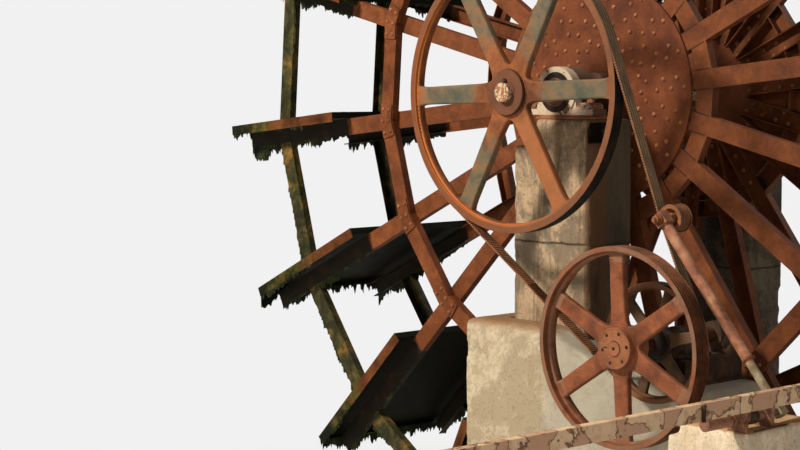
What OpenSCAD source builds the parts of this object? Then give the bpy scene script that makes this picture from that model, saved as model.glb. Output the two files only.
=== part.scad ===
// Water wheel of riveted steel channel, carried between two concrete piers,
// with the belt drive that takes its power off at the near end of the axle.
// The origin is at floor level under the axle, in the foot of the near pier.
// +X runs to the right, +Y along the axle to the far pier, +Z up.

/* [Wheel] */
// Height of the axle above the floor
axle_h = 3300; // [3150:10:3600]
// Number of spokes, one blade on each
spoke_count = 18; // [15:1:18]
// Angle of the first spoke above +X
first_spoke = 5.87; // [0:0.01:20]
// Radius of the blade tips
tip_r = 3100; // [3000:10:3150]
// Radius of the blades' inner edge
blade_r0 = 2090; // [1950:10:2300]
// Width of the wheel over the blades
wheel_w = 1150; // [1000:10:1300]
// Width over the outer faces of the two sets of spokes
frame_w = 850; // [700:10:860]
// Corner radius of the inner ring
inner_ring_r = 1705; // [1500:5:1850]
// Mid-chord radius of the outer ring, set between the spokes
outer_ring_r = 2708; // [2400:1:2850]
// Mid-chord radius of the ring round the hub disc
hub_ring_r = 660; // [645:5:900]
// Radius of the riveted hub discs
disc_r = 583; // [400:1:590]
// Depth of the steel channel
channel_d = 100; // [80:5:110]
// Width of the channel's flanges
channel_f = 50; // [40:5:50]
// Thickness of the channel's steel
channel_t = 6; // [4:1:8]

/* [Axle] */
// Diameter of the main axle
axle_d = 100; // [80:5:110]
// Near end of the axle
axle_y0 = -605; // [-650:5:-600]
// Outer radius of the axle's bearing housings
bearing_r = 134; // [110:1:136]

/* [Belt drive] */
// Rim radius of the large sheave on the axle
upper_sheave_r = 718; // [600:1:740]
// Rim radius of the small driven sheave
small_sheave_r = 290; // [200:1:300]
// Rim radius of the take-off sheave on the countershaft
takeoff_sheave_r = 476; // [300:1:485]
// Countershaft to the right of the axle
counter_x = 957; // [900:1:1000]
// Height of the countershaft above its block
counter_rise = 215; // [190:1:240]
// Diameter of the countershaft
counter_d = 70; // [50:2:80]
// Front face of the belt plane
belt_y0 = -565; // [-566:1:-560]
// Distance from belt to belt
belt_pitch = 16.5; // [16:0.1:18.5]
// Width of a belt
belt_w = 12.6; // [10:0.1:12.6]
// Thickness of a belt
belt_t = 11; // [9:0.5:12]

/* [Belt tensioner] */
// Radius of the idler roller where it touches the belts
idler_r = 62; // [50:1:66]
// Distance of the idler down the slack run
idler_run = 952; // [800:1:1000]
// How far the idler presses the slack run in
idler_press = 21; // [4:1:30]
// Pivot of the tensioner to the right of the axle
pivot_x = 1735; // [1725:1:1745]
// Height of the pivot above the floor
pivot_h = 1900; // [1895:1:1905]

/* [Piers] */
// Height of the axle above a pier's top
axle_seat = 138; // [136:1:160]
// Depth of a pier's broken corner
broken_drop = 142; // [60:2:300]
// Height of the plinth block under the countershaft
plinth_h = 1900; // [1850:10:1900]
// Rise of the plinth block left of its slope
plinth_rise = 200; // [100:10:300]
// Height of the small block under the tensioner
small_block_h = 1850; // [1800:5:1850]
// Near end of the rail
rail_y0 = -2750; // [-3000:10:-1200]

/* [Hidden] */

// Heights
pier_h = axle_h - axle_seat;
counter_h = plinth_h + counter_rise;

// Wheel
half_step = 180 / spoke_count;
blade_y0 = 50;
wheel_mid = blade_y0 + wheel_w / 2;
spoke_y0 = wheel_mid - frame_w / 2;
ring_y0 = spoke_y0 - channel_f;
spoke_r0 = (channel_d / 2 + 3) / tan(half_step);
spoke_r1 = tip_r - 10;
disc_t = 12;
boss_r = 105;
boss_y0 = 90;
blade_t = 5;
blade_lip = 40;
fishplate_len = 200;
fishplate_w = 92;
fishplate_t = 8;
mitre_gap = 2;
running = 0.06;

// Sheaves
belt_count = 4;
takeoff_grooves = 5;
groove_d = 12;
groove_top = 15.2;
groove_floor = 13.2;
rim_edge = 2;
belt_plane_w = belt_count * belt_pitch + 2 * rim_edge;
belt_mid = belt_y0 + belt_plane_w / 2;
takeoff_y0 = -829;
takeoff_w = 92;

// Idler, pressed into the belts' slack run
groove_clear = 2;
belt_inner_1 = upper_sheave_r - groove_d + groove_clear;
belt_inner_2 = small_sheave_r - groove_d + groove_clear;
counter_at = [counter_x, counter_h - axle_h];
counter_dir = atan2(counter_at[1], counter_at[0]);
wrap = acos((upper_sheave_r - small_sheave_r) / norm(counter_at));
slack_normal = counter_dir + wrap;
taut_normal = counter_dir - wrap;
idler_offset = belt_inner_1 + belt_t + idler_r - idler_press;
idler_x = idler_offset * cos(slack_normal) + idler_run * sin(slack_normal);
idler_h = axle_h + idler_offset * sin(slack_normal) - idler_run * cos(slack_normal);
idler_at = [idler_x, idler_h - axle_h];
idler_gap = 0.4;

// Ends of the shafts and hubs
nose_len = 30;
nose_r = axle_d / 2 - 1;
belt_hub_y0 = axle_y0 + nose_len;
belt_hub_y1 = belt_y0 + belt_plane_w + 17;
takeoff_hub_y0 = takeoff_y0 - 7;
takeoff_hub_y1 = takeoff_y0 + takeoff_w + 40;
counter_y0 = takeoff_hub_y0 - 2;
counter_y1 = 5;
axle_foot_w = 420;
axle_bearing_y0 = -200;
axle_bearing_y1 = -40;
packing_t = 10;
seal_r = 76;
seal_t = 8;

// Tensioner
pole_y = -625;
pole_len = norm([pivot_x - idler_x, idler_h - pivot_h]);
pole_lean = atan2(pivot_x - idler_x, idler_h - pivot_h);
pole_r = 26;
pole_foot_r = 20;
foot_lug = 50;
head_lug = 60;
bolt_r = 10;
bolt_out = 50;
head_r = 17;
head_t = 12;
washer_r = 26;
spacer_r = 16;
lug_half = 28;
idler_y0 = belt_y0 - 9;
idler_y1 = belt_y0 + belt_plane_w + 5;
flange_t = 8;
rod_r = 17;
sleeve_r = 22;
saddle_top = pivot_h + 36;
saddle_x = pivot_x - 35;
saddle_w = 90;
saddle_t = 24;
saddle_y = [-950, -760];
sleeve_y0 = -980;
sleeve_y1 = -690;
rod_y0 = -1160;
rod_y1 = -600;
rail_w = 40;
rail_h = 74;
post_w = 100;
post_d = 120;

// Countershaft
counter_seat = 85;
counter_foot_w = 250;

// Piers
pier_x0 = -285;
pier_x1 = 255;
pier_broken_x = -126;
pier_y0 = -220;
pier_y1 = 120;
pier_back_low = 20;
pier_step_h = axle_h - 1950;
plinth_y0 = -430;
plinth_y1 = 25;
plinth_x0 = -447;
plinth_x1 = counter_x + 243;
slope_x0 = 100;
slope_x1 = counter_x - 357;
small_block_x0 = pivot_x - 355;
small_block_x1 = pivot_x + 85;
small_block_y0 = -970;
small_block_y1 = -420;
chip = [70, 90, 60];
rail_y1 = -100;

steel = [0.50, 0.29, 0.19];
rust = [0.62, 0.33, 0.18];
orange_rust = [0.72, 0.30, 0.16];
concrete = [0.72, 0.69, 0.60];
bearing_paint = [0.74, 0.66, 0.62];

// A shape turned about the axle's direction, from +X up towards +Z
module turned(angle) {
    rotate([0, -angle, 0]) children();
}

// A wheel part set on the axle
module on_axle() {
    translate([0, 0, axle_h]) children();
}

// A countershaft part set on its own centre line
module on_counter() {
    translate([counter_x, 0, counter_h]) children();
}

// The same shape on the far side of the wheel
module far_side() {
    translate([0, 2 * wheel_mid, 0]) mirror([0, 1, 0]) children();
}

// A round bar along the axle's direction
module bar_y(r, y0, y1) {
    translate([0, y0, 0]) rotate([-90, 0, 0]) cylinder(r = r, h = y1 - y0, $fn = 96);
}

// A flat outline in X and Z, drawn out along Y
module slab_y(y0, y1) {
    translate([0, y1, 0]) rotate([90, 0, 0]) linear_extrude(height = y1 - y0) children();
}

// Steel channel along X, its web facing -Y and its flanges to +Y
module channel(x0, x1) {
    difference() {
        translate([x0, 0, -channel_d / 2])
            cube([x1 - x0, channel_f, channel_d]);
        translate([x0 - 1, channel_t, channel_t - channel_d / 2])
            cube([x1 - x0 + 2, channel_f, channel_d - 2 * channel_t]);
    }
}

// Every spoke's place, or with 0.5 every mid-chord
module each_spoke(shift = 0) {
    for (k = [0 : spoke_count - 1])
        turned(first_spoke + (k + shift) * 2 * half_step) children();
}

// Ring of straight channel lengths, mitred with a gap at each spoke
module channel_ring(mid_r, y0, side_gap) {
    apex = side_gap / sin(half_step);
    reach = mid_r + channel_d;
    half_len = (mid_r + channel_d) * tan(half_step);
    on_axle() each_spoke(0.5) intersection() {
        translate([mid_r, y0, 0]) rotate([0, -90, 0]) channel(-half_len, half_len);
        slab_y(y0 - 1, y0 + channel_f + 1) polygon([
            [apex, 0],
            [reach, (reach - apex) * tan(half_step)],
            [reach, -(reach - apex) * tan(half_step)]
        ]);
    }
}

// Bent plate over a ring's corner
module fishplate(corner_r) {
    bend = fishplate_w / 2 / cos(half_step);
    along = fishplate_len / 2 * [-sin(half_step), cos(half_step)];
    across = fishplate_w / 2 * [cos(half_step), sin(half_step)];
    outer = along + across;
    inner = along - across;
    slab_y(ring_y0 - fishplate_t, ring_y0) translate([corner_r, 0])
        polygon([
            [bend, 0], outer, inner, [-bend, 0],
            [inner[0], -inner[1]], [outer[0], -outer[1]]
        ]);
}

module spokes() {
    color(steel) on_axle() each_spoke()
        translate([0, spoke_y0, 0]) channel(spoke_r0, spoke_r1);
}

module hub_ring() {
    color(steel) channel_ring(hub_ring_r, spoke_y0, channel_d / 2);
}

module inner_ring() {
    color(steel) channel_ring(inner_ring_r * cos(half_step), ring_y0, mitre_gap);
}

// Set between the spokes, each length ending at the next blade's back
module outer_ring() {
    color([0.52, 0.45, 0.22]) difference() {
        channel_ring(outer_ring_r, spoke_y0, channel_d / 2);
        on_axle() each_spoke()
            translate([blade_r0, blade_y0 - 1, -channel_d / 2 - blade_lip])
                cube([tip_r, wheel_w + 2, blade_lip + channel_d / 2]);
    }
}

module fishplates() {
    color(rust) on_axle() each_spoke() fishplate(inner_ring_r);
}

module disc() {
    color(steel) on_axle() difference() {
        bar_y(disc_r, spoke_y0 - disc_t, spoke_y0);
        bar_y(axle_d / 2, spoke_y0 - disc_t - 1, spoke_y0 + 1);
    }
}

module boss() {
    color(rust) on_axle() difference() {
        bar_y(boss_r, boss_y0, spoke_y0 - disc_t);
        bar_y(axle_d / 2, boss_y0 - 1, spoke_y0);
    }
}

// Shallow pan on the trailing side of each spoke, open towards it
module blades() {
    len = tip_r - blade_r0;
    color([0.42, 0.38, 0.26]) on_axle() each_spoke()
        translate([0, 0, -channel_d / 2 - blade_lip]) difference() {
            translate([blade_r0, blade_y0, 0]) cube([len, wheel_w, blade_lip]);
            translate([blade_r0 + blade_t, blade_y0 + blade_t, blade_t])
                cube([len - 2 * blade_t, wheel_w - 2 * blade_t, blade_lip]);
        }
}

// Main axle, with a turned nose at its near end
module main_axle() {
    color([0.70, 0.62, 0.50]) on_axle() {
        bar_y(nose_r, axle_y0, axle_y0 + nose_len);
        bar_y(axle_d / 2, axle_y0 + nose_len, 2 * wheel_mid + 250);
    }
}

// Outline of one V groove below a rim's surface
function groove(mid) = [
    [-groove_top / 2 + mid, 0],
    [-groove_floor / 2 + mid, -groove_d],
    [groove_floor / 2 + mid, -groove_d],
    [groove_top / 2 + mid, 0]
];

// Grooved rim, round the Y axis
module rim(r, y0, width, thick, grooves) {
    pitch = (width - 2 * rim_edge) / grooves;
    mids = [for (i = [0 : grooves - 1]) width / 2 + (i - (grooves - 1) / 2) * pitch];
    outline = concat(
        [[0, -thick], [0, 0]],
        [for (m = mids) each groove(m)],
        [[width, 0], [width, -thick]]
    );
    translate([0, y0, 0]) rotate([-90, 0, 0])
        rotate_extrude($fn = 128)
            polygon([for (p = outline) [r + p[1], p[0]]]);
}

// Flat arm of a sheave, spread out at the hub and at the rim
module arm(hub_r, reach, arm_w, fillet) {
    root = arm_w / 2;
    tip = arm_w * 0.43;
    polygon([
        [hub_r / 2, -root - fillet], [hub_r + 8, -root - fillet * 0.6], [hub_r + 30, -root],
        [reach - 34, -tip], [reach - 12, -tip - fillet * 0.4], [reach + 4, -tip - fillet],
        [reach + 4, tip + fillet], [reach - 12, tip + fillet * 0.4], [reach - 34, tip],
        [hub_r + 30, root], [hub_r + 8, root + fillet * 0.6], [hub_r / 2, root + fillet]
    ]);
}

// Arms of a cast sheave with a collar round its hub
module web(r, y_mid, rim_t, hub_r, first_arm, arm_w, arm_t) {
    bar_y(hub_r + 14, y_mid - arm_t / 2 - 4, y_mid + arm_t / 2 + 4);
    for (k = [0 : 5])
        turned(first_arm + 60 * k) slab_y(y_mid - arm_t / 2, y_mid + arm_t / 2)
            arm(hub_r, r - rim_t, arm_w, arm_w * 0.3);
}

module upper_sheave() {
    color(orange_rust) on_axle() difference() {
        union() {
            rim(upper_sheave_r, belt_y0, belt_plane_w, 36, belt_count);
            bar_y(117, belt_hub_y0, belt_hub_y1);
            web(upper_sheave_r, belt_mid, 36, 117, 1.8, 84, 44);
        }
        bar_y(axle_d / 2, belt_hub_y0 - 1, belt_hub_y1 + 1);
    }
}

module small_sheave() {
    color([0.62, 0.45, 0.32]) on_counter() difference() {
        union() {
            rim(small_sheave_r, belt_y0, belt_plane_w, 24, belt_count);
            bar_y(76, belt_hub_y0, belt_hub_y1);
            web(small_sheave_r, belt_mid, 24, 76, 12, 46, 22);
        }
        bar_y(counter_d / 2, belt_hub_y0 - 1, belt_hub_y1 + 1);
    }
}

// Take-off sheave, its hub closed by a disc that is tapped for six screws
module takeoff_sheave() {
    color(orange_rust) on_counter() difference() {
        union() {
            rim(takeoff_sheave_r, takeoff_y0, takeoff_w, 24, takeoff_grooves);
            bar_y(98, takeoff_hub_y0, takeoff_hub_y1);
            web(takeoff_sheave_r, takeoff_y0 + takeoff_w / 2, 24, 98, 33.5, 70, 34);
        }
        bar_y(counter_d / 2, takeoff_hub_y0 - 1, takeoff_hub_y1 + 1);
        for (k = [0 : 5])
            turned(60 * k + 10) translate([74, 0, 0]) bar_y(6, takeoff_hub_y0 - 1, takeoff_hub_y0 + 16);
    }
}

module countershaft() {
    color(rust) on_counter() bar_y(counter_d / 2, counter_y0, counter_y1);
}

function toward(angle) = [cos(angle), sin(angle)];

// Outline of a loop round both sheaves and past the idler, outside the belts' inner face
module loop_outline(out) {
    r1 = belt_inner_1 + out;
    r2 = belt_inner_2 + out;
    bend_r = idler_r + idler_gap + belt_t - out;
    from_counter = idler_at - counter_at;
    above = atan2(idler_at[1], idler_at[0]) + acos((r1 + bend_r) / norm(idler_at));
    below = atan2(from_counter[1], from_counter[0]) - acos((r2 + bend_r) / norm(from_counter));
    circle(r = r1, $fn = 128);
    translate(counter_at) circle(r = r2, $fn = 128);
    polygon([
        r1 * toward(above), idler_at - bend_r * toward(above),
        idler_at - bend_r * toward(below), counter_at + r2 * toward(below),
        counter_at + r2 * toward(taut_normal), r1 * toward(taut_normal)
    ]);
}

module drive_belts() {
    color([0.40, 0.38, 0.30]) on_axle()
        for (i = [0 : belt_count - 1]) {
            y = belt_mid + (i - (belt_count - 1) / 2) * belt_pitch;
            slab_y(y - belt_w / 2, y + belt_w / 2) difference() {
                loop_outline(belt_t);
                loop_outline(0);
            }
        }
}

// Pedestal with a bore for a shaft, and a flat foot
module pedestal(r, bore, y0, y1, centre_h, foot_len, foot_t) {
    difference() {
        union() {
            bar_y(r, y0, y1);
            translate([-foot_len / 2, y0, -centre_h]) cube([foot_len, y1 - y0, foot_t]);
            slab_y(y0 + 8, y1 - 8) polygon([
                [-r - 12, 5 - centre_h], [r + 12, 5 - centre_h],
                [r * 0.9, 0], [-r * 0.9, 0]
            ]);
        }
        bar_y(bore, y0 - 1, y1 + 1);
    }
}

// Two light channels on the block that carry the countershaft's pedestals
module countershaft_stand() {
    stand_top = counter_h - counter_seat;
    color(rust) for (side = [-1, 1])
        translate([counter_x + side * 95 - 30, plinth_y0 + 10, 0])
            difference() {
                translate([0, 0, plinth_h]) cube([60, 430, stand_top - plinth_h]);
                for (x = [-1, 36])
                    translate([x, -1, plinth_h + 10]) cube([25, 432, stand_top - plinth_h - 20]);
            }
}

module countershaft_bearings() {
    color([0.45, 0.40, 0.34]) on_counter()
        for (y = [-400, -110])
            pedestal(66, counter_d / 2 + running, y, y + 70, counter_seat, counter_foot_w, 22);
}

module axle_bearing() {
    foot_drop = axle_seat - 2 * packing_t;
    color(bearing_paint) on_axle() difference() {
        pedestal(
            bearing_r, axle_d / 2 + running, axle_bearing_y0, axle_bearing_y1,
            foot_drop, axle_foot_w, 30
        );
        translate([-axle_foot_w, axle_bearing_y0 - 1, -foot_drop - 60])
            cube([2 * axle_foot_w, axle_bearing_y1 - axle_bearing_y0 + 2, 60]);
    }
}

module seal() {
    on_axle() difference() {
        bar_y(seal_r, axle_bearing_y0 - seal_t, axle_bearing_y0);
        bar_y(axle_d / 2 + running, axle_bearing_y0 - seal_t - 1, axle_bearing_y0 + 1);
    }
}

module bearing_seals() {
    color("dimgray") {
        seal();
        far_side() seal();
    }
}

// Packing between a pier's top and the bearing's foot
module packing() {
    translate([pier_broken_x, axle_bearing_y0 - 10, pier_h])
        cube([pier_x1 - pier_broken_x - 20, 180, packing_t]);
    translate([pier_broken_x + 15, axle_bearing_y0 - 5, pier_h + packing_t])
        cube([pier_x1 - pier_broken_x - 60, 170, packing_t]);
}

module packing_plates() {
    color(rust) {
        packing();
        far_side() packing();
    }
}

// Concrete pier with a broken corner and a pocket; its foot keeps clear of the blades
module pier() {
    color(concrete) difference() {
        translate([pier_x0, pier_y0, 0])
            cube([pier_x1 - pier_x0, pier_y1 - pier_y0, pier_h]);
        translate([pier_x0 - 1, pier_y0 - 1, pier_h - broken_drop])
            cube([pier_broken_x - pier_x0 + 1, pier_y1 - pier_y0 + 2, pier_h]);
        translate([pier_x0 - 1, pier_back_low, -1])
            cube([pier_x1 - pier_x0 + 2, pier_y1, pier_step_h + 1]);
        translate([pier_x1 - 80, -208, pier_h - 121]) cube([81, 125, 103]);
    }
}

// Block beside the near pier, with a slope down to the countershaft's seat
module plinth_block() {
    color([0.78, 0.75, 0.66]) difference() {
        slab_y(plinth_y0, plinth_y1) polygon([
            [plinth_x0, 0], [plinth_x1, 0], [plinth_x1, plinth_h], [slope_x1, plinth_h],
            [slope_x0, plinth_h + plinth_rise], [plinth_x0, plinth_h + plinth_rise]
        ]);
        translate([pier_x0, pier_y0, -1])
            cube([pier_x1 - pier_x0, pier_y1 - pier_y0, pier_h]);
    }
}

module small_block() {
    color([0.76, 0.72, 0.62]) difference() {
        translate([small_block_x0, small_block_y0, 0])
            cube([small_block_x1 - small_block_x0, small_block_y1 - small_block_y0, small_block_h]);
        translate([small_block_x0 - 1, small_block_y0 - 1, small_block_h - chip[2]])
            cube([chip[0], chip[1], chip[2] + 1]);
    }
}

module rail_post() {
    color([0.70, 0.67, 0.60])
        translate([pivot_x - 10, rail_y0 + 30, 0]) cube([post_w, post_d, saddle_top]);
}

module rail() {
    color([0.74, 0.62, 0.54])
        translate([pivot_x + 15, rail_y0, saddle_top]) cube([rail_w, rail_y1 - rail_y0, rail_h]);
}

module hinge_saddles() {
    color(rust) for (y = saddle_y)
        difference() {
            translate([saddle_x, y, small_block_h]) cube([saddle_w, saddle_t, saddle_top - small_block_h]);
            translate([pivot_x, 0, pivot_h]) bar_y(sleeve_r, y - 1, y + saddle_t + 1);
        }
}

module hinge_sleeve() {
    color(rust) translate([pivot_x, 0, pivot_h]) difference() {
        bar_y(sleeve_r, sleeve_y0, sleeve_y1);
        bar_y(rod_r + running, sleeve_y0 - 1, sleeve_y1 + 1);
    }
}

module hinge_rod() {
    color([0.66, 0.52, 0.42]) translate([pivot_x, 0, pivot_h]) bar_y(rod_r, rod_y0, rod_y1);
}

// Pipe from the hinge rod up to a lug at the idler
module tensioner_pole() {
    thin_len = pole_len * 0.26;
    color([0.70, 0.45, 0.36])
        translate([pivot_x, pole_y, pivot_h]) rotate([0, -pole_lean, 0]) difference() {
            union() {
                translate([-foot_lug / 2, -24, -foot_lug / 2]) cube([foot_lug, 48, foot_lug]);
                translate([0, 0, foot_lug / 2 - 1]) cylinder(r = pole_foot_r, h = thin_len, $fn = 64);
                translate([0, 0, thin_len]) cylinder(r = pole_r, h = pole_len - thin_len - 20, $fn = 64);
                translate([-head_lug / 2, -lug_half, pole_len - head_lug / 2 - 2])
                    cube([head_lug, 2 * lug_half, head_lug + 2]);
            }
            bar_y(rod_r, -60, 60);
            translate([0, 0, pole_len]) bar_y(bolt_r, -60, 60);
        }
}

// Bolt with its head before the lug, a spacer and a nut behind the roller
module idler_bolt() {
    color("dimgray") translate([idler_x, 0, idler_h]) {
        bar_y(bolt_r, pole_y - bolt_out, idler_y1 + head_t + 4);
        bar_y(head_r, pole_y - lug_half - 2 * head_t, pole_y - lug_half - head_t);
        bar_y(washer_r, pole_y - lug_half - head_t, pole_y - lug_half);
        bar_y(spacer_r, pole_y + lug_half, idler_y0 - 1);
        bar_y(spacer_r, idler_y1 + 1, idler_y1 + 1 + head_t);
    }
}

// Roller with a flange at each end, hollowed out round its hub
module idler_roller() {
    color([0.46, 0.34, 0.28]) translate([idler_x, 0, idler_h]) difference() {
        union() {
            bar_y(idler_r, idler_y0, idler_y1);
            bar_y(idler_r + 5, idler_y0, idler_y0 + flange_t);
            bar_y(idler_r + 5, idler_y1 - flange_t, idler_y1);
        }
        for (y = [idler_y0 - 1, idler_y1 - 24])
            difference() {
                bar_y(idler_r - 14, y, y + 25);
                bar_y(27, y - 1, y + 26);
            }
        bar_y(bolt_r + running, idler_y0 - 1, idler_y1 + 1);
    }
}

pier();  // near_pier
far_side() pier();  // far_pier
plinth_block();
small_block();
rail_post();
axle_bearing();  // near_bearing_housing
far_side() axle_bearing();  // far_bearing_housing
bearing_seals();
packing_plates();
countershaft_stand();
countershaft_bearings();
drive_belts();
rail();
hinge_saddles();
hinge_sleeve();
main_axle();
disc();  // near_disc
far_side() disc();  // far_disc
boss();  // near_boss
far_side() boss();  // far_boss
spokes();  // near_spokes
far_side() spokes();  // far_spokes
hub_ring();  // near_hub_ring
far_side() hub_ring();  // far_hub_ring
inner_ring();  // near_inner_ring
far_side() inner_ring();  // far_inner_ring
outer_ring();  // near_outer_ring
far_side() outer_ring();  // far_outer_ring
fishplates();  // near_fishplates
far_side() fishplates();  // far_fishplates
blades();
upper_sheave();
countershaft();
small_sheave();
takeoff_sheave();
hinge_rod();
tensioner_pole();
idler_bolt();
idler_roller();
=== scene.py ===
# %% [markdown]
# # Water wheel and its belt drive
#
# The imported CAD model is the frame. It already has every steel section, sheave and block in its
# right place. This lesson keeps those shapes, softens their edges, gives each one a worn finish that
# is made of nodes, and adds what a CAD model leaves out: rivets, bolts, cogged belts, the eroded
# skin of the concrete and the weed that hangs from a wheel which has stood wet for years.

import math
import random

import bmesh
import bpy
import numpy as np
from mathutils import Matrix, Vector, noise


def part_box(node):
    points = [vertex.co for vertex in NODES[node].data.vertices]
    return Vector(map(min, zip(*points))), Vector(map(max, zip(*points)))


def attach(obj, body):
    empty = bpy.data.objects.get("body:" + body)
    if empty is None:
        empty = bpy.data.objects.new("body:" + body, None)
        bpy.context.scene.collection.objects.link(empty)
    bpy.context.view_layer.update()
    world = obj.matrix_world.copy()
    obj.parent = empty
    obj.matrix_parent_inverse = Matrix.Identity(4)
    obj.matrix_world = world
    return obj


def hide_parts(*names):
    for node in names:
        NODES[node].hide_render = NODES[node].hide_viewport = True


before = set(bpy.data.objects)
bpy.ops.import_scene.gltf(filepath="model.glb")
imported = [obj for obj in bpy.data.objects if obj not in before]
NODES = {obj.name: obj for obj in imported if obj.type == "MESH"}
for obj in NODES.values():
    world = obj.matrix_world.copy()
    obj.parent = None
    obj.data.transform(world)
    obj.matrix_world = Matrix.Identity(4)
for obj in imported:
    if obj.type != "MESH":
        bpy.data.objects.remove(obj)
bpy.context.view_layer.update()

# %% [markdown]
# ## Measures read from the frame
#
# Everything that is added has to sit on the CAD model to the millimetre. The numbers could be typed
# in again, but then a change to the model would leave the rivets hanging in the air. So the axes and
# faces are read from the boxes of the nodes: the middle of a round node's box is its centre line.

# %% Measures


def centre(node):
    """Middle of a CAD node's box."""
    low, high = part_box(node)
    return (Vector(low) + Vector(high)) / 2


def span(node, axis):
    """Lowest and highest value of a CAD node along an axis."""
    low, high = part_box(node)
    return low[axis], high[axis]


AXLE = centre("main_axle")
COUNTER = centre("countershaft")
PIVOT = centre("hinge_rod")
IDLER = centre("idler_roller")
WHEEL_MID = centre("blades").y
X, Y, Z = 0, 1, 2
print("axle", tuple(round(v, 3) for v in AXLE), "wheel middle", round(WHEEL_MID, 3))

# %% [markdown]
# ## The wheel's own grid
#
# The wheel has eighteen spokes, so nearly everything on it repeats every 20 degrees. A point is
# easiest to name as on a clock: how far out, along which spoke, and how far to the side of it. The
# far half of the wheel mirrors the near half, so only the near faces are measured.

# %% The wheel's own grid
SPOKES = 18
FIRST_SPOKE = math.radians(5.87)
STEP = 2 * math.pi / SPOKES
INNER_R, OUTER_MID = 1.705, 2.708
BLADE_R0, TIP_R = 2.090, 3.100
CHANNEL_D, CHANNEL_T = 0.100, 0.006
DISC_R, HUB_OUT = span("near_disc", X)[1], span("near_hub_ring", X)[1] - 0.010
SPOKE_Y = span("near_spokes", Y)[0]
PLATE_Y = span("near_fishplates", Y)[0]
DISC_Y = span("near_disc", Y)[0]
BLADE_Y = span("blades", Y)[0]


def on_wheel(radius, angle, y, across=0.0):
    """Point at a radius along a spoke's angle, moved across it in the wheel's plane."""
    c, s = math.cos(angle), math.sin(angle)
    return Vector((AXLE.x + radius * c - across * s, y, AXLE.z + radius * s + across * c))


def mirrored(y):
    """The same distance on the far side of the wheel."""
    return 2 * WHEEL_MID - y


def spoke_angles():
    """Angle of each spoke."""
    return [FIRST_SPOKE + k * STEP for k in range(SPOKES)]


print(SPOKES, "spokes, disc", round(DISC_R, 3), "m, tips", TIP_R, "m")

# %% [markdown]
# ## A material kit: wiring
#
# A worn surface needs thirty or more nodes. They could be placed by hand in the shader editor, but
# here they have to come from the script. This small class adds nodes and links in a few words, so
# that a recipe reads as a sum: times, plus, minus, and steps that are 0 below a value and 1 above.

# %% Wiring


class Wiring:
    """Adds nodes to one new material and links them."""

    def __init__(self, name):
        self.material = bpy.data.materials.new(name)
        self.material.use_nodes = True
        self.tree = self.material.node_tree
        self.shader = self.tree.nodes["Principled BSDF"]
        self.coords = self.add("ShaderNodeTexCoord").outputs["Object"]

    def add(self, kind, **settings):
        """A node with its settings."""
        node = self.tree.nodes.new(kind)
        for key, value in settings.items():
            setattr(node, key, value)
        return node

    def put(self, socket, value):
        """A link or a plain value into a socket."""
        if isinstance(value, bpy.types.NodeSocket):
            self.tree.links.new(value, socket)
        elif isinstance(value, tuple) and len(value) == 3 and socket.type == "RGBA":
            socket.default_value = (*value, 1.0)
        else:
            socket.default_value = value

    def calc(self, operation, a, b=0.0):
        """One sum."""
        node = self.add("ShaderNodeMath", operation=operation)
        self.put(node.inputs[0], a)
        self.put(node.inputs[1], b)
        return node.outputs["Value"]

    def times(self, a, b):
        """Product of two values."""
        return self.calc("MULTIPLY", a, b)

    def plus(self, a, b):
        """Total of two values."""
        return self.calc("ADD", a, b)

    def minus(self, a, b):
        """First value less the second."""
        return self.calc("SUBTRACT", a, b)

    def apart(self, a, b):
        """How far two values are apart."""
        return self.calc("ABSOLUTE", self.minus(a, b))

    def step(self, value, low, high):
        """0 below low, 1 above high, smooth between."""
        node = self.add("ShaderNodeMapRange", interpolation_type="SMOOTHSTEP")
        self.put(node.inputs["Value"], value)
        node.inputs["From Min"].default_value = low
        node.inputs["From Max"].default_value = high
        return node.outputs["Result"]

    def below(self, value, low, high):
        """1 below low, 0 above high, smooth between."""
        return self.minus(1.0, self.step(value, low, high))

    def within(self, value, low, high, soft):
        """1 between low and high."""
        return self.times(self.step(value, low, low + soft), self.below(value, high - soft, high))


print("wiring ready")

# %% [markdown]
# ## A material kit: patterns
#
# Noise and cells are the two patterns that rust, dirt and cast concrete are built from. They read
# Object coordinates, which are the model's own metres, so a patch of rust turns with the wheel and
# has the same size on every piece. Generated coordinates would stretch with each piece's box.

# %% Patterns


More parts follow.
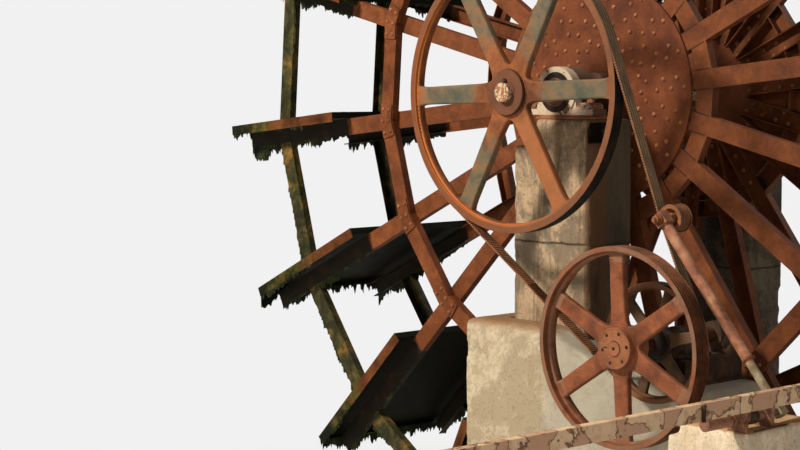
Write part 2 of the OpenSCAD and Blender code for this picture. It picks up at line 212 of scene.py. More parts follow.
class Patterns(Wiring):
    """Wiring with noise, cells and the mixing of colours."""

    def stretched(self, scale):
        """Object coordinates scaled by axis."""
        node = self.add("ShaderNodeMapping")
        self.put(node.inputs["Vector"], self.coords)
        node.inputs["Scale"].default_value = scale
        return node.outputs["Vector"]

    def noise(self, scale, detail=6.0, rough=0.6, vector=None, distort=0.0):
        """Fractal noise from 0 to 1."""
        node = self.add("ShaderNodeTexNoise")
        self.put(node.inputs["Vector"], vector or self.coords)
        node.inputs["Scale"].default_value = scale
        node.inputs["Detail"].default_value = detail
        node.inputs["Roughness"].default_value = rough
        node.inputs["Distortion"].default_value = distort
        return node.outputs["Fac"]

    def cells(self, scale, vector=None):
        """Distance to the nearest cell point."""
        node = self.add("ShaderNodeTexVoronoi", feature="F1")
        self.put(node.inputs["Vector"], vector or self.coords)
        node.inputs["Scale"].default_value = scale
        return node.outputs["Distance"]

    def mix(self, factor, a, b):
        """Colour between a and b."""
        node = self.add("ShaderNodeMix", data_type="RGBA")
        self.put(node.inputs["Factor"], factor)
        self.put(node.inputs["A"], a)
        self.put(node.inputs["B"], b)
        return node.outputs["Result"]

    def tint(self, factor, colour, other, share=1.0):
        """Colour moved towards another by a share of the factor."""
        return self.mix(self.times(factor, share), colour, other)

    def ramp(self, value, stops):
        """Colour ramp with (place, colour) stops."""
        node = self.add("ShaderNodeValToRGB")
        self.put(node.inputs["Fac"], value)
        elements = node.color_ramp.elements
        while len(elements) < len(stops):
            elements.new(0.5)
        for element, (place, colour) in zip(elements, stops):
            element.position = place
            element.color = (*colour, 1.0)
        return node.outputs["Color"]


print("patterns ready")

# %% [markdown]
# ## A material kit: places and finish
#
# Rust knows where it is: near the hub, below a bearing, on the side that looks down. Such places
# could be painted on an image for each piece. Here they are plain sums of the coordinates, such as
# the distance from the axle, and noise tears their edges. The last word links what was mixed to the
# shader's own sockets.

# %% Places and finish


class Graph(Patterns):
    """Patterns with places on the wheel, and the shader's sockets."""

    def axis(self, name):
        """One of the object coordinates."""
        node = self.add("ShaderNodeSeparateXYZ")
        self.put(node.inputs["Vector"], self.coords)
        return node.outputs[name]

    def radius(self, middle=None):
        """Distance from the axle or another centre line along Y."""
        middle = middle or AXLE
        x = self.minus(self.axis("X"), middle.x)
        z = self.minus(self.axis("Z"), middle.z)
        return self.calc("SQRT", self.plus(self.times(x, x), self.times(z, z)))

    def ragged(self, value, pattern, reach):
        """A value pushed up and down by a pattern, so that a limit on it has a torn edge."""
        return self.plus(value, self.times(self.minus(pattern, 0.5), reach))

    def finish(self, colour, roughness, height, depth, specular):
        """Links the shader's sockets and returns the material."""
        self.put(self.shader.inputs["Base Color"], colour)
        self.put(self.shader.inputs["Roughness"], roughness)
        self.shader.inputs["Specular IOR Level"].default_value = specular
        if height is not None:
            bump = self.add("ShaderNodeBump")
            bump.inputs["Distance"].default_value = depth
            bump.inputs["Strength"].default_value = 0.8
            self.put(bump.inputs["Height"], height)
            self.put(self.shader.inputs["Normal"], bump.outputs["Normal"])
        return self.material


print("material kit ready")

# %% [markdown]
# ## Rusted steel
#
# Old rolled steel under red oxide is never one brown. Broad patches are lighter or darker, smaller
# ones flake, and fine pits and dark specks cover both. A photograph of rust could be laid on, but it
# would repeat and run out at the edges. Four noises at different scales give the same layers, and
# the same values that make the colour also make the bump and the roughness.

# %% Rusted steel
DULL = 0.16
PITTED = 0.0035


def rust_layers(g, here, dark, mid, bright):
    """Colour, height and roughness of rusted steel."""
    broad = g.noise(1.9, 5.0, 0.6, here, 0.3)
    patch = g.noise(9.0, 9.0, 0.68, here, 0.4)
    grain = g.noise(85.0, 5.0, 0.7, here)
    pits = g.cells(230.0, here)
    tone = g.plus(g.times(patch, 0.65), g.times(broad, 0.35))
    colour = g.ramp(tone, [(0.38, dark), (0.5, mid), (0.62, bright)])
    colour = g.tint(g.step(grain, 0.45, 0.8), colour, tuple(c * 0.5 for c in mid), 0.7)
    colour = g.tint(g.step(broad, 0.54, 0.70), colour, dark, 0.3)
    height = g.plus(g.times(patch, 0.8), g.times(grain, 0.35))
    height = g.plus(height, g.times(g.step(pits, 0.0, 0.25), 0.15))
    return colour, height, g.plus(g.times(patch, 0.3), 0.5)


def rusted(name, dark, mid, bright, grey=0.0, seed=0.0, veil=(0.15, 0.135, 0.085)):
    """Rust in three tones, with grey-green oxide by share."""
    g = Graph(name)
    place = g.add("ShaderNodeMapping")
    g.put(place.inputs["Vector"], g.coords)
    place.inputs["Location"].default_value = (seed, seed * 0.7, seed * 1.3)
    here = place.outputs["Vector"]
    colour, height, rough = rust_layers(g, here, dark, mid, bright)
    if grey:
        cover = g.step(g.noise(3.4, 6.0, 0.6, here, 0.6), 0.60 - 0.2 * grey, 0.66)
        colour = g.tint(cover, colour, g.mix(g.noise(14.0, 6.0, 0.7, here), veil, mid), 0.8)
    return g.finish(colour, rough, height, PITTED, DULL)


DISC_STEEL = rusted("disc_steel", (0.070, 0.018, 0.006), (0.122, 0.032, 0.010), (0.165, 0.048, 0.015), 0.0, 3.0)
# Near black for the empty grooves of the big and the driven sheave: painted shade.
GROOVE_SHADE = rusted("groove_shade", (0.008, 0.007, 0.006), (0.018, 0.014, 0.011), (0.060, 0.030, 0.018),
                      0.0, 31.0)
GROOVE_RUST = rusted("groove_rust", (0.050, 0.021, 0.011), (0.125, 0.046, 0.021), (0.23, 0.085, 0.038), 0.0, 33.0)
DARK_STEEL = rusted("dark_steel", (0.014, 0.009, 0.006), (0.050, 0.026, 0.014), (0.11, 0.052, 0.024), 0.2, 15.0)
# Rust of the hinge, made lighter by painted sunlight.
HINGE_RUST_SUNLIT = rusted("hinge_rust_sunlit", (0.085, 0.038, 0.024), (0.21, 0.092, 0.055), (0.34, 0.165, 0.105), 0.2, 17.0)
BOLT_RUST = rusted("bolt_rust", (0.10, 0.034, 0.014), (0.22, 0.080, 0.032), (0.36, 0.15, 0.068), 0.0, 19.0)
BELT_EDGE = rusted("belt_edge", (0.16, 0.085, 0.040), (0.36, 0.20, 0.095), (0.46, 0.27, 0.13), 0.0, 27.0)
print("materials so far:", len(bpy.data.materials))

# %% [markdown]
# ## The wheel's steel, from dry hub to wet rim
#
# The hub stays dry and orange. Past the blades' inner edge the channels are wet at every turn and
# lie in the pans' shadow, so they are black with a little moss: wet steel with painted shadow. Two
# materials with a seam between them would show a hard line.
# Here the distance from the axle, torn by noise, moves one material from rust to moss to black.
# The spokes pass through the ring at the hub, and a dark seam on both sides of each keeps them apart.

# %% The wheel's steel
# From this radius the spokes are near black: wet steel in the painted shadow of the pans.
SHADE_AND_WET_FROM = 2.105
SEAM = (0.046, 0.056)
SHADE_WET_BLACK, SHADE_WET_BROWN = (0.0065, 0.0070, 0.0040), (0.026, 0.014, 0.006)


def spoke_seams(g):
    """1 along the sides of each spoke inside the ring at the hub."""
    angle = g.calc("ARCTAN2", g.minus(g.axis("Z"), AXLE.z), g.minus(g.axis("X"), AXLE.x))
    turn = g.calc("FLOORED_MODULO", g.plus(angle, STEP / 2 - FIRST_SPOKE), STEP)
    across = g.calc("ABSOLUTE", g.times(g.radius(), g.minus(turn, STEP / 2)))
    return g.times(g.within(across, *SEAM, 0.003), g.within(g.radius(), DISC_R, HUB_OUT, 0.006))


def wheel_steel(name, rust, wet, moss, shade_from=None):
    """Rust near the axle that turns to moss and then to wet black weed with the radius; past shade_from, painted
    shadow of the pans on wet steel.
    """
    g = Graph(name)
    colour, height, rough = rust_layers(g, g.coords, *rust)
    streak = g.noise(4.5, 8.0, 0.7, distort=0.5)
    reach = g.ragged(g.radius(), streak, 1.3)
    mossy = g.step(reach, wet[0], sum(wet) / 2)
    black = g.step(reach, sum(wet) / 2, wet[1])
    green = g.ramp(g.noise(6.0, 8.0, 0.72, distort=0.5),
                   [(0.42, (0.010, 0.014, 0.004)), (0.51, moss), (0.62, (0.19, 0.100, 0.024))])
    colour = g.tint(mossy, colour, green, 0.9)
    colour = g.tint(black, colour, (0.008, 0.009, 0.005), 0.92)
    if shade_from:
        colour = g.tint(spoke_seams(g), colour, (0.016, 0.008, 0.005), 0.85)
        # Painted shadow of the pans over wet steel, from shade_from outwards.
        edge = g.ragged(g.radius(), g.noise(16.0, 5.0, 0.6), 0.05)
        colour = g.tint(g.step(edge, shade_from, shade_from + 0.02), colour,
                        g.mix(g.step(streak, 0.5, 0.66), SHADE_WET_BLACK, SHADE_WET_BROWN), 0.95)
    return g.finish(colour, rough, height, 0.004, 0.14)


WHEEL_STEEL = wheel_steel("wheel_steel", ((0.070, 0.020, 0.007), (0.125, 0.036, 0.011), (0.190, 0.058, 0.018)),
                          (2.75, 3.35), (0.050, 0.044, 0.012), SHADE_AND_WET_FROM)
RING_MOSS = wheel_steel("ring_moss", ((0.035, 0.018, 0.006), (0.080, 0.040, 0.012), (0.16, 0.075, 0.022)),
                        (2.10, 3.10), (0.042, 0.043, 0.012))
print("wet from", SHADE_AND_WET_FROM, "m")

# %% [markdown]
# ## Pan blades and weed
#
# The pans are thin sheet. Inside and below they are nearly black: wet steel with painted shade.
# Their two long lips dry in the sun and stay rusty near the hub and mossy at the tip. The lips are
# the part farthest from the wheel's middle, so the distance along the axle tells them from the rest
# without painting by hand. The weed is one dark green with olive tips.

# %% Pan blades and weed
# Near black of the pans' wet steel in painted shade, and the colour of drips on it.
PAN_SHADE_WET, PAN_DRIP = (0.0075, 0.0080, 0.0048), (0.050, 0.032, 0.012)


def blade_steel():
    """Pan sheet: near black inside and below, wet and in painted shade, its two outer lips rusty to mossy."""
    g = Graph("blade_steel")
    colour, height, rough = rust_layers(g, g.coords, (0.035, 0.013, 0.006), (0.090, 0.031, 0.011),
                                        (0.145, 0.052, 0.018))
    reach = g.ragged(g.radius(), g.noise(5.5, 8.0, 0.72, distort=0.4), 1.2)
    green = g.ramp(g.noise(9.0, 8.0, 0.72),
                   [(0.42, (0.012, 0.015, 0.005)), (0.54, (0.060, 0.055, 0.014)), (0.68, (0.13, 0.085, 0.022))])
    colour = g.mix(g.step(reach, 2.45, 2.85), colour, green)
    colour = g.mix(g.step(reach, 2.72, 3.12), colour, (0.007, 0.009, 0.005))
    # All but the lips' outer faces get the near black of wet steel in painted shade.
    half = WHEEL_MID - BLADE_Y
    inside = g.below(g.apart(g.axis("Y"), WHEEL_MID), half - 0.004, half - 0.001)
    drip = g.step(g.noise(6.0, 7.0, 0.7), 0.60, 0.75)
    colour = g.mix(inside, colour, g.tint(drip, PAN_SHADE_WET, PAN_DRIP, 0.5))
    return g.finish(colour, rough, height, 0.004, 0.04)


def weed_green():
    """Wet weed, near black with olive tips."""
    g = Graph("weed_green")
    tone = g.noise(11.0, 6.0, 0.7)
    colour = g.ramp(tone, [(0.42, (0.006, 0.008, 0.004)), (0.55, (0.018, 0.024, 0.007)),
                           (0.70, (0.060, 0.058, 0.015))])
    return g.finish(colour, g.plus(g.times(tone, 0.3), 0.45), tone, 0.002, 0.08)


BLADE_STEEL = blade_steel()
WEED = weed_green()
print("blades and weed coloured")

# %% [markdown]
# ## The large sheave
#
# This casting was once painted grey-green. The paint holds on the arms, is gone at their roots and
# on the arm that looks down to the right. Just inside the rim at the lower left, a bright orange band
# is painted sunlight. Each zone is a span of radius, and the direction from the axle picks the bare
# arm.

# %% The large sheave
BARE_ARM = math.radians(-58.2)
COLLAR_R, ARM_FROM, ARM_TO = 0.1165, 0.14, 0.70
PAINTED_SUN_R, RIM_FACE_R = (0.672, 0.6845), (0.684, 0.687)


def sheave_veil(g, radius, facing):
    """Old paint on the arms and how much of it there is."""
    shifted = g.ragged(radius, g.noise(6.0, 6.0, 0.65), 0.5)
    outward = g.times(g.step(shifted, 0.20, 0.34), g.below(shifted, 0.64, 0.70))
    broken = g.step(g.noise(4.0, 7.0, 0.66, distort=0.4), 0.30, 0.46)
    paint = g.ramp(g.noise(9.0, 7.0, 0.66, distort=0.3),
                   [(0.36, (0.055, 0.066, 0.050)), (0.52, (0.115, 0.095, 0.056)), (0.66, (0.20, 0.088, 0.036))])
    away = g.times(g.below(facing, 0.72, 0.9), g.below(radius, 0.640, 0.672))
    return paint, g.times(g.times(outward, broken), away)


def sheave_rust():
    """The cast sheave on the axle: grey-green arms with orange roots, a dark hub and painted sunlight inside the
    rim.
    """
    g = Graph("sheave_rust")
    colour, height, rough = rust_layers(g, g.coords, (0.075, 0.026, 0.011), (0.175, 0.058, 0.020),
                                        (0.27, 0.085, 0.027))
    radius = g.radius()
    x = g.calc("DIVIDE", g.axis("X"), radius)
    z = g.calc("DIVIDE", g.minus(g.axis("Z"), AXLE.z), radius)
    facing = g.plus(g.times(x, math.cos(BARE_ARM)), g.times(z, math.sin(BARE_ARM)))
    bare = g.times(g.step(facing, 0.72, 0.9), g.within(radius, ARM_FROM, ARM_TO, 0.05))
    colour = g.tint(bare, colour, (0.34, 0.125, 0.045), 0.45)
    paint, share = sheave_veil(g, radius, facing)
    colour = g.tint(share, colour, paint, 0.9)
    colour = g.tint(g.below(radius, COLLAR_R, COLLAR_R + 0.0015), colour, (0.090, 0.038, 0.021), 0.75)
    ring = g.below(g.apart(radius, COLLAR_R + 0.002), 0.001, 0.003)
    colour = g.tint(ring, colour, (0.030, 0.014, 0.008), 0.7)
    left_low = g.step(g.minus(g.times(x, -0.85), g.times(z, 0.4)), 0.0, 0.7)
    # Painted sunlight: a bright orange band just inside the rim at the lower left.
    colour = g.tint(g.times(left_low, g.within(radius, *PAINTED_SUN_R, 0.002)), colour, (0.48, 0.14, 0.028), 0.75)
    face = g.step(radius, *RIM_FACE_R)
    colour = g.tint(face, colour, (0.13, 0.056, 0.029), 0.65)
    orange = g.times(left_low, g.times(face, g.step(g.noise(5.0, 6.0, 0.6), 0.35, 0.6)))
    colour = g.tint(orange, colour, (0.155, 0.046, 0.015), 0.75)
    return g.finish(colour, rough, height, PITTED, DULL)


SHEAVE_RUST = sheave_rust()
print("large sheave coloured")

# %% [markdown]
# ## The smaller sheaves and the idler
#
# The take-off sheave is redder, with a brown band on its rim and a thin dark ring on its hub. The
# driven sheave is oily, so its hub is almost black and its arms olive. Belts run on the idler and
# leave four dark bands. A repeating band needs no texture: the remainder of Y divided by the belts'
# pitch is the same sum at each belt.

# %% The smaller sheaves and the idler
BELT_PITCH = 0.0165


def takeoff_rust():
    """Reddish cast iron with a brown front band on the rim."""
    g = Graph("takeoff_rust")
    colour, height, rough = rust_layers(g, g.coords, (0.085, 0.027, 0.012), (0.180, 0.056, 0.024),
                                        (0.27, 0.092, 0.037))
    radius = g.radius(COUNTER)
    smear = g.step(g.noise(7.0, 7.0, 0.7), 0.35, 0.6)
    colour = g.tint(g.times(g.step(radius, 0.452, 0.456), smear), colour, (0.165, 0.092, 0.056), 0.85)
    hub = g.below(radius, 0.098, 0.101)
    colour = g.tint(hub, colour, g.mix(smear, (0.15, 0.055, 0.025), (0.27, 0.105, 0.046)), 0.8)
    deep = g.times(g.within(radius, 0.40, 0.4525, 0.002), g.step(smear, 0.2, 0.8))
    colour = g.tint(deep, colour, (0.20, 0.105, 0.060), 0.7)
    groove = g.within(radius, 0.0335, 0.0385, 0.0015)
    colour = g.tint(groove, colour, (0.03, 0.012, 0.007), 0.85)
    return g.finish(colour, rough, height, PITTED, DULL)


def small_rust():
    """The driven sheave: dark hub, olive-brown arms and a red-brown rim."""
    g = Graph("small_rust")
    colour, height, rough = rust_layers(g, g.coords, (0.040, 0.020, 0.011), (0.095, 0.053, 0.026),
                                        (0.16, 0.090, 0.045))
    radius = g.radius(COUNTER)
    colour = g.tint(g.below(radius, 0.085, 0.105), colour, (0.014, 0.011, 0.009), 0.9)
    colour = g.tint(g.step(radius, 0.255, 0.266), colour, (0.21, 0.085, 0.040), 0.85)
    return g.finish(colour, rough, height, PITTED, DULL)


def idler_rust():
    """The idler roller, with dark bands where the belts run."""
    g = Graph("idler_rust")
    colour, height, rough = rust_layers(g, g.coords, (0.11, 0.045, 0.020), (0.25, 0.095, 0.038),
                                        (0.36, 0.145, 0.055))
    place = g.calc("FRACT", g.calc("DIVIDE", g.plus(g.axis("Y"), 1.0), BELT_PITCH))
    runs = g.times(g.within(place, 0.10, 0.62, 0.08), g.step(g.radius(IDLER), 0.057, 0.059))
    colour = g.tint(runs, colour, (0.050, 0.030, 0.018), 0.8)
    return g.finish(colour, rough, g.minus(height, runs), PITTED, DULL)


TAKEOFF_RUST = takeoff_rust()
SMALL_RUST = small_rust()
IDLER_RUST = idler_rust()
print("smaller sheaves and idler coloured")

# %% [markdown]
# ## Concrete: each block's own marks
#
# A dark wavy line shows where one pour met the next. Dirt and rust have run down below the bearing,
# and the slope of one block was skimmed grey. One picture for each block could hold these marks. As
# small functions on one recipe they stay sharp at any distance, and a block takes those it needs.

# %% Marks on concrete
# Near black for the painted shade inside the pier's pocket.
POCKET_SHADE = (0.006, 0.005, 0.004)
PIER_SIDE = span("near_pier", X)[1]
POUR_NEAR, POUR_FAR = 2.511, 2.30


def share_of(colour, share):
    """The colour darkened to a share."""
    return tuple(c * share for c in colour)


def pour_joint(g, colour, height, joint_z):
    """A wavy dark line, cut in, where two pours meet."""
    wavy = g.plus(g.axis("Z"), g.times(g.noise(9.0, 5.0, 0.6), 0.03))
    line = g.below(g.apart(wavy, joint_z + 0.015), 0.002, 0.009)
    return g.tint(line, colour, (0.040, 0.030, 0.020), 0.85), g.minus(height, line)


def below_bearing(g, colour, runs):
    """Dirt runs, painted shade on the right face with rust along its front, and painted shade in the pocket."""
    drips = g.noise(1.0, 7.0, 0.66, g.stretched((13.0, 13.0, 0.9)), 0.6)
    colour = g.tint(g.step(drips, 0.52, 0.64), colour, (0.120, 0.066, 0.034), 0.60)
    colour = g.tint(g.below(drips, 0.36, 0.45), colour, (0.110, 0.100, 0.080), 0.55)
    # Painted shade on the right face, with dirt runs in it.
    side = g.step(g.axis("X"), PIER_SIDE - 0.035, PIER_SIDE - 0.012)
    side = g.times(side, g.step(g.axis("Z"), 1.8, 1.9))
    side_shade_and_dirt = g.mix(g.step(runs, 0.4, 0.6), (0.085, 0.066, 0.043), (0.040, 0.031, 0.021))
    colour = g.tint(side, colour, side_shade_and_dirt, 0.75)
    front = g.times(side, g.below(g.axis("Y"), -0.12, -0.05))
    rust = g.mix(g.step(drips, 0.42, 0.58), (0.055, 0.036, 0.022), (0.150, 0.068, 0.032))
    colour = g.tint(front, colour, rust, 0.65)
    # Painted shade inside the pocket.
    box = g.times(g.within(g.axis("X"), 0.170, 0.252, 0.006), g.within(g.axis("Z"), 3.036, 3.148, 0.006))
    box = g.times(box, g.within(g.axis("Y"), -0.214, -0.078, 0.004))
    return g.tint(box, colour, POCKET_SHADE, 0.95)


def skimmed(g, colour, fine):
    """A grey skim coat right of the crown, and rust washed over the crown."""
    slope = g.step(g.plus(g.axis("X"), g.times(fine, 0.5)), 0.35, 0.48)
    colour = g.tint(slope, colour, g.mix(fine, (0.24, 0.235, 0.20), (0.40, 0.36, 0.28)), 0.75)
    crown = g.step(g.plus(g.axis("Z"), g.times(fine, 0.06)), 2.085, 2.125)
    return g.tint(crown, colour, (0.21, 0.105, 0.046), 0.85)


print("pours meet at", POUR_NEAR, "and", POUR_FAR)

# %% [markdown]
# ## Concrete: the recipe
#
# The piers were cast in boards and have weathered for years: pale and tan blotches, dirty runs down
# the faces and air holes of two sizes. A photograph of concrete could be laid on, but it would show
# its edges on blocks this large. A run is only a noise whose coordinates are squeezed across and
# stretched up, so its spots become long streaks.

# %% Concrete


def concrete(name, pale, tan, stain, stain_share, joint_z=None, pocket=False, skim=False, crown_z=None):
    """Weathered concrete: sharp-edged blotches, runs down the faces, pits and an optional pour joint."""
    g = Graph(name)
    blotch = g.noise(1.7, 9.0, 0.66, distort=0.6)
    fine = g.noise(11.0, 9.0, 0.7, distort=0.3)
    grain = g.noise(60.0, 8.0, 0.75)
    runs = g.noise(1.6, 8.0, 0.7, g.stretched((3.2, 3.2, 0.7)), 0.8)
    patch = g.step(g.plus(g.times(blotch, 0.7), g.times(fine, 0.3)), 0.47, 0.54)
    colour = g.mix(patch, tan, pale)
    colour = g.tint(g.step(fine, 0.50, 0.72), colour, share_of(tan, 0.62), 0.6)
    colour = g.tint(g.step(runs, 0.50, 0.68), colour, stain, stain_share)
    hole = g.calc("MAXIMUM", g.below(g.cells(46.0), 0.05, 0.16), g.below(g.cells(120.0), 0.04, 0.20))
    hole = g.times(hole, g.step(fine, 0.42, 0.56))
    # The air holes are painted dark: the shade inside them.
    colour = g.tint(hole, colour, share_of(tan, 0.25), 0.75)
    colour = g.tint(g.step(grain, 0.50, 0.66), colour, share_of(tan, 0.5), 0.6)
    height = g.minus(g.plus(g.times(grain, 0.9), g.times(fine, 0.9)), hole)
    if joint_z is not None:
        colour, height = pour_joint(g, colour, height, joint_z)
    if pocket:
        colour = below_bearing(g, colour, runs)
    if skim:
        colour = skimmed(g, colour, fine)
    if crown_z is not None:
        top = g.step(g.plus(g.axis("Z"), g.times(fine, 0.02)), crown_z + 0.003, crown_z + 0.008)
        colour = g.tint(top, colour, g.mix(blotch, (0.36, 0.165, 0.055), (0.50, 0.33, 0.17)), 0.85)
    return g.finish(colour, 0.92, height, 0.007, 0.12)


PIER_CONCRETE = concrete("pier_concrete", (0.44, 0.310, 0.190), (0.200, 0.150, 0.100), (0.080, 0.063, 0.044), 0.75,
                         POUR_NEAR, pocket=True)
FAR_CONCRETE = concrete("far_concrete", (0.15, 0.115, 0.075), (0.075, 0.063, 0.045), (0.022, 0.018, 0.013), 0.85,
                        POUR_FAR)
BLOCK_CONCRETE = concrete("block_concrete", (0.48, 0.40, 0.285), (0.33, 0.265, 0.175), (0.22, 0.135, 0.070), 0.45,
                          skim=True)
SMALL_CONCRETE = concrete("small_concrete", (0.72, 0.60, 0.44), (0.54, 0.44, 0.31), (0.38, 0.22, 0.10), 0.35,
                          crown_z=span("small_block", Z)[1])
print("materials with the concretes:", len(bpy.data.materials))

# %% [markdown]
# ## Belts and seals
#
# V-belts are black when new. These are dusty on their backs and brown with rust dust on their cogs,
# so two rubbers are made. The seal round the axle is black with grease, but a ring of rust has
# crept out along the shaft, which is one more span of radius.

# %% Belts and seals


def belt_rubber():
    """Dusty rubber with rust between the belts."""
    g = Graph("belt_rubber")
    dust = g.noise(6.0, 7.0, 0.65)
    grain = g.noise(140.0, 3.0, 0.6)
    colour = g.ramp(dust, [(0.35, (0.060, 0.048, 0.030)), (0.55, (0.110, 0.086, 0.052)),
                           (0.7, (0.16, 0.105, 0.056))])
    colour = g.mix(g.step(grain, 0.5, 0.8), colour, (0.05, 0.038, 0.026))
    return g.finish(colour, 0.8, grain, 0.0008, 0.3)


def cog_rubber():
    """The belts' inner side, brown with rust dust."""
    g = Graph("cog_rubber")
    dust = g.noise(12.0, 7.0, 0.65)
    colour = g.ramp(dust, [(0.35, (0.15, 0.065, 0.030)), (0.65, (0.34, 0.15, 0.066))])
    return g.finish(colour, 0.85, dust, 0.001, 0.2)


def seal_rubber():
    """Black greasy seal, with a rusty ring around the axle."""
    g = Graph("seal_rubber")
    smear = g.noise(30.0, 5.0, 0.6)
    colour = g.ramp(smear, [(0.4, (0.008, 0.007, 0.006)), (0.7, (0.040, 0.025, 0.018))])
    radius = g.radius()
    rust = g.mix(smear, (0.10, 0.038, 0.022), (0.24, 0.11, 0.07))
    colour = g.tint(g.within(radius, 0.050, 0.077, 0.003), colour, rust, 0.9)
    colour = g.tint(g.within(radius, 0.062, 0.067, 0.0015), colour, (0.020, 0.012, 0.009), 0.8)
    return g.finish(colour, g.plus(g.times(smear, 0.4), 0.4), smear, 0.0006, 0.15)


BELT_TOP, BELT_COG, SEAL = belt_rubber(), cog_rubber(), seal_rubber()
print("rubbers made")

# %% [markdown]
# ## Flaking paint
#
# Cream paint on the rail, the bearings and the axle's end has let go in islands. Each island has a
# dark rusty edge where damp creeps under it. One noise does all three: above a limit the paint
# holds, below it the steel shows, and close to the limit lies the edge. The pipe of the tensioner
# was painted in two colours that meet at a ragged height.

# %% Flaking paint


def flaking_paint(name, paint, old_paint, bare, share, scale, back_y=None):
    """Paint that peels in islands with a dark rust edge."""
    g = Graph(name)
    field = g.noise(scale, 7.0, 0.60, distort=0.3)
    grime = g.noise(scale * 4, 7.0, 0.7)
    kept = g.step(field, share, share + 0.012)
    edge = g.below(g.apart(field, share), 0.004, 0.026)
    colour = g.mix(kept, g.mix(grime, bare, share_of(bare, 1.5)), paint)
    colour = g.tint(g.step(grime, 0.45, 0.7), colour, old_paint, 0.5)
    colour = g.tint(edge, colour, (0.065, 0.020, 0.010), 0.8)
    if back_y is not None:
        behind = g.step(g.plus(g.axis("Y"), g.times(grime, 0.03)), back_y, back_y + 0.012)
        colour = g.tint(behind, colour, (0.075, 0.030, 0.015), 0.9)
    return g.finish(colour, 0.75, g.plus(kept, g.times(grime, 0.4)), 0.0015, 0.3)


def pole_paint():
    """Red-brown pipe whose lower part was painted pale."""
    g = Graph("pole_paint")
    smear = g.noise(9.0, 8.0, 0.7)
    grain = g.noise(120.0, 4.0, 0.7)
    upper = g.ramp(smear, [(0.36, (0.12, 0.045, 0.024)), (0.50, (0.28, 0.110, 0.058)), (0.66, (0.42, 0.22, 0.13))])
    lower = g.ramp(smear, [(0.38, (0.12, 0.065, 0.032)), (0.50, (0.20, 0.155, 0.090)), (0.66, (0.36, 0.31, 0.21))])
    change = g.below(g.ragged(g.axis("Z"), smear, 0.16), PIVOT.z + 0.19, PIVOT.z + 0.22)
    colour = g.mix(change, upper, lower)
    colour = g.tint(g.step(grain, 0.5, 0.8), colour, (0.07, 0.03, 0.018), 0.5)
    return g.finish(colour, g.plus(g.times(smear, 0.3), 0.4), smear, 0.0015, 0.2)


RAIL_PAINT = flaking_paint("rail_paint", (0.60, 0.41, 0.25), (0.27, 0.16, 0.095), (0.36, 0.21, 0.13), 0.49, 5.6)
BEARING_PAINT = flaking_paint("bearing_paint", (0.46, 0.36, 0.26), (0.30, 0.19, 0.12), (0.16, 0.065, 0.030),
                              0.39, 11.0, -0.135)
SHIM_PAINT = flaking_paint("shim_paint", (0.42, 0.30, 0.22), (0.28, 0.14, 0.085), (0.15, 0.060, 0.030), 0.50, 24.0)
AXLE_PAINT = flaking_paint("axle_paint", (0.46, 0.37, 0.24), (0.26, 0.12, 0.050), (0.22, 0.080, 0.030), 0.49, 60.0)
POLE_PAINT = pole_paint()
print("materials in all:", len(bpy.data.materials))

# %% [markdown]
# ## Finish on the frame's own nodes
#
# The steel sections are already exact, so they keep their shape and only get a material. A real edge
# is never sharp: it is rolled, cast or worn, and catches a thin line of light. A small Bevel modifier
# with two segments gives that line and leaves the CAD mesh itself untouched.

# %% Finish on the frame's nodes
FINISH = {
    "near_bearing_housing": BEARING_PAINT, "far_bearing_housing": BEARING_PAINT,
    "bearing_seals": SEAL, "packing_plates": BOLT_RUST,
    "countershaft_stand": DARK_STEEL, "countershaft_bearings": DARK_STEEL,
    "rail": RAIL_PAINT, "rail_post": SMALL_CONCRETE,
    "hinge_saddles": HINGE_RUST_SUNLIT, "hinge_sleeve": HINGE_RUST_SUNLIT, "hinge_rod": HINGE_RUST_SUNLIT,
    "blades": BLADE_STEEL, "near_outer_ring": RING_MOSS, "far_outer_ring": RING_MOSS,
    "main_axle": AXLE_PAINT, "near_disc": DISC_STEEL, "far_disc": DISC_STEEL,
    "near_boss": DARK_STEEL, "far_boss": DARK_STEEL,
    "upper_sheave": SHEAVE_RUST, "countershaft": TAKEOFF_RUST,
    "small_sheave": SMALL_RUST, "takeoff_sheave": TAKEOFF_RUST,
    "tensioner_pole": POLE_PAINT, "idler_bolt": BOLT_RUST, "idler_roller": IDLER_RUST,
    "near_pier": PIER_CONCRETE, "far_pier": FAR_CONCRETE,
    "plinth_block": BLOCK_CONCRETE, "small_block": SMALL_CONCRETE, "drive_belts": BELT_TOP,
}
THIN_EDGE = 0.0018
EDGE = {"near_bearing_housing": 0.006, "far_bearing_housing": 0.006, "packing_plates": 0.002,
        "rail": 0.004, "rail_post": 0.012, "hinge_saddles": 0.003}
for name, node in NODES.items():
    node.data.materials.clear()
    node.data.materials.append(FINISH.get(name, WHEEL_STEEL))
    bevel = node.modifiers.new("arris", "BEVEL")
    bevel.width = EDGE.get(name, THIN_EDGE)
    bevel.segments = 2
    bevel.limit_method = "ANGLE"
    bevel.angle_limit = math.radians(38)
print("finished", len(NODES), "nodes")

# %% [markdown]
# ## Mesh helpers
#
# A new piece has to be one closed mesh with its place in its own vertices, because the motion reads
# it there. Pieces could be placed by moving their objects, but then a pattern on Object
# coordinates would start afresh on each. So every maker below hands over points and faces, and one
# function turns them into an object, turns its faces outwards and lets it ride on a body.

# %% Mesh helpers


def add_mesh(name, verts, faces, material, body, smooth=35):
    """A mesh object with outward normals that rides on a body."""
    data = bpy.data.meshes.new(name)
    data.from_pydata([tuple(v) for v in verts], [], faces)
    solid = bmesh.new()
    solid.from_mesh(data)
    bmesh.ops.recalc_face_normals(solid, faces=solid.faces)
    solid.to_mesh(data)
    solid.free()
    return add_data(name, data, material, body, smooth)


